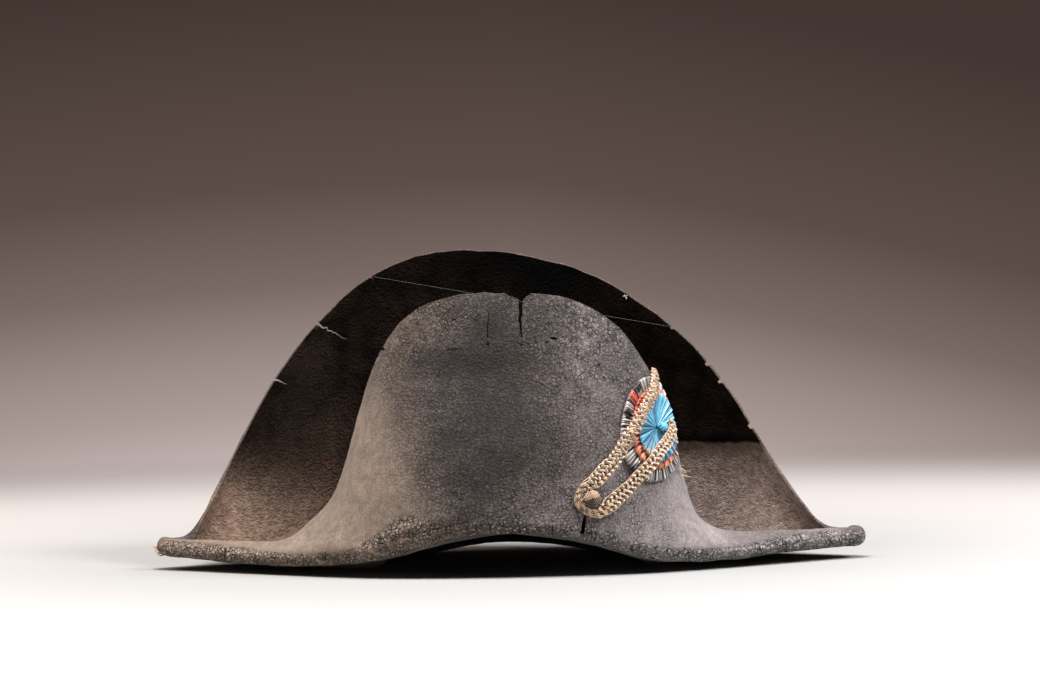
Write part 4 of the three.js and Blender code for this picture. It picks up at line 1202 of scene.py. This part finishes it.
def fibres():
    """Frayed fibres at the left tip and under the cockade, and lint caught on the rear flap."""
    rng = random.Random(23)
    pile = Pile()
    for _ in range(26):
        start = (-229 + rng.uniform(-1, 2), rng.uniform(-5, 4), 13 + rng.uniform(-4, 5))
        heading = (-1, rng.uniform(-0.5, 0.5), rng.uniform(-0.3, 0.7))
        line = strand(start, heading, rng.uniform(2, 4.5), 0.4, rng)
        add_fibre(pile, line, 0.3, tone=rng.uniform(0, 0.3), red=0)
    for _ in range(12):
        a, b = 19 + rng.uniform(-3, 3), -28 + rng.uniform(-3, 4)
        start = on_flap(a, b, cockade_base(a, b) + 0.6)
        heading = hub_right * rng.uniform(0.5, 1) + hub_up * rng.uniform(-0.9, 0.1) + hub_out * 0.25
        line = strand(start, heading, rng.uniform(3, 6), 0.35, rng)
        add_fibre(pile, line, 0.16, tone=rng.uniform(0.5, 0.8), red=0)
    for station, v, spread, tone, red, count in LINT:
        for _ in range(count):
            up_down = 0.08 * rng.uniform(-spread, 0.5 * spread)
            place, right, up, out = felt_frame(station + rng.uniform(-spread, spread), v + up_down)
            heading = right * rng.uniform(-1, 1) + up * rng.uniform(-1, 1) - out * 0.1
            line = strand(place - out * (FELT / 2 + 0.4), heading, rng.uniform(0.8, 2), 0.4, rng)
            add_fibre(pile, line, 0.15, tone=tone, red=red)
    show("loose_fibres", mesh_of("loose_fibres", pile, fibre_material()))


def stray_thread():
    """A taut thread from one nick of the rear flap's edge to another."""
    ends = [felt_frame(station, THREAD_V)[0] + PLACE for station in THREAD_STATIONS]
    line = np.linspace(*ends, 24) * MM
    curve = bpy.data.curves.new("stray_thread", "CURVE")
    curve.dimensions = "3D"
    curve.bevel_depth = THREAD_THICK / 2 * MM
    points = curve.splines.new("POLY").points
    points.add(len(line) - 1)
    for point, place in zip(points, line):
        point.co = (*place, 1.0)
    s = Shader("stray_thread", Roughness=0.5)
    dye = s.mix(s.noise(6), rgb(26, 23, 20), rgb(52, 46, 40))
    curve.materials.append(s.finish(s.tone(dye, s.noise(1), 0.7, 1.2)))
    thread = show("stray_thread", curve)


def add_light(name, place, aim, size, power, color):
    light = bpy.data.lights.new(name, "AREA")
    light.shape = "RECTANGLE"
    light.size, light.size_y = size
    light.energy = power
    light.color = color
    lamp = bpy.data.objects.new(name, light)
    lamp.location = place
    lamp.rotation_euler = (Vector(aim) - Vector(place)).to_track_quat("-Z", "Y").to_euler()
    bpy.context.scene.collection.objects.link(lamp)


def studio():
    """A pale floor that fades into a plain backdrop, whose colours are painted light that fades upward and
    to the sides; light from above and a little from either side.
    """
    place = (0, 0, FLOOR_Z)
    bpy.ops.mesh.primitive_circle_add(vertices=96, radius=FLOOR_RADIUS, fill_type="NGON", location=place)
    ground = bpy.context.object
    ground.name = "floor"
    s = Shader("floor", Roughness=0.9, Specular_IOR_Level=0.1)
    distance = s.node("VectorMath", {0: s.place}, operation="LENGTH").outputs["Value"]
    s.finish(s.mix(s.span(distance, 0.1, 0.9), rgb(147, 148, 148), rgb(206, 202, 201)))
    solid = s.tree.nodes["Principled BSDF"].outputs["BSDF"]
    clear = s.node("BsdfTransparent").outputs["BSDF"]
    blend = s.node("MixShader", {0: s.span(distance, 0.9, 1.88), 1: solid, 2: clear})
    s.put(blend.outputs["Shader"], s.tree.nodes["Material Output"].inputs["Surface"])
    ground.data.materials.append(s.material)

    world = bpy.data.worlds.new("backdrop")
    world.use_nodes = True
    bpy.context.scene.world = world
    sky = Nodes(world.node_tree, "Generated")
    # painted light: the backdrop is brightest low down and in the middle, darker upward and to the sides,
    # more so to the right
    split = sky.node("SeparateXYZ", {0: sky.place}).outputs
    sideways = split["X"]
    height = sky.sum(sky.product(sky.sum(sideways, 0.0, "MAXIMUM"), 0.15), split["Z"])
    height = sky.sum(sky.product(sky.product(sideways, sideways), 0.3), height)
    lowest, highest = BACKDROP[0][0], BACKDROP[-1][0]
    level = sky.node("MapRange", {"Value": height, "From Min": lowest, "From Max": highest})
    ramp = sky.node("ValToRGB", {"Fac": level.outputs["Result"]})
    stops = ramp.color_ramp.elements
    while len(stops) < len(BACKDROP):
        stops.new(0.5)
    for stop, (place, color) in zip(stops, BACKDROP):
        stop.position = (place - lowest) / (highest - lowest)
        stop.color = rgb(*color)
    sky.put(ramp.outputs["Color"], world.node_tree.nodes["Background"].inputs["Color"])

    for name, light in LIGHTS.items():
        add_light(name, *light)


def camera():
    """Level with the hat's middle, as the photograph was taken, with its slight roll."""
    made = bpy.data.cameras.new("camera")
    made.lens = LENS_MM
    made.sensor_width = SENSOR_MM
    eye = bpy.data.objects.new("camera", made)
    eye.location = CAMERA_PLACE
    eye.rotation_euler = (math.radians(90), CAMERA_ROLL, 0)
    bpy.context.scene.collection.objects.link(eye)
    bpy.context.scene.camera = eye


bpy.context.scene.view_settings.view_transform = "Standard"
camera()
felt_body()
cockade()
knot()
button()
braid()
fibres()
stray_thread()
studio()
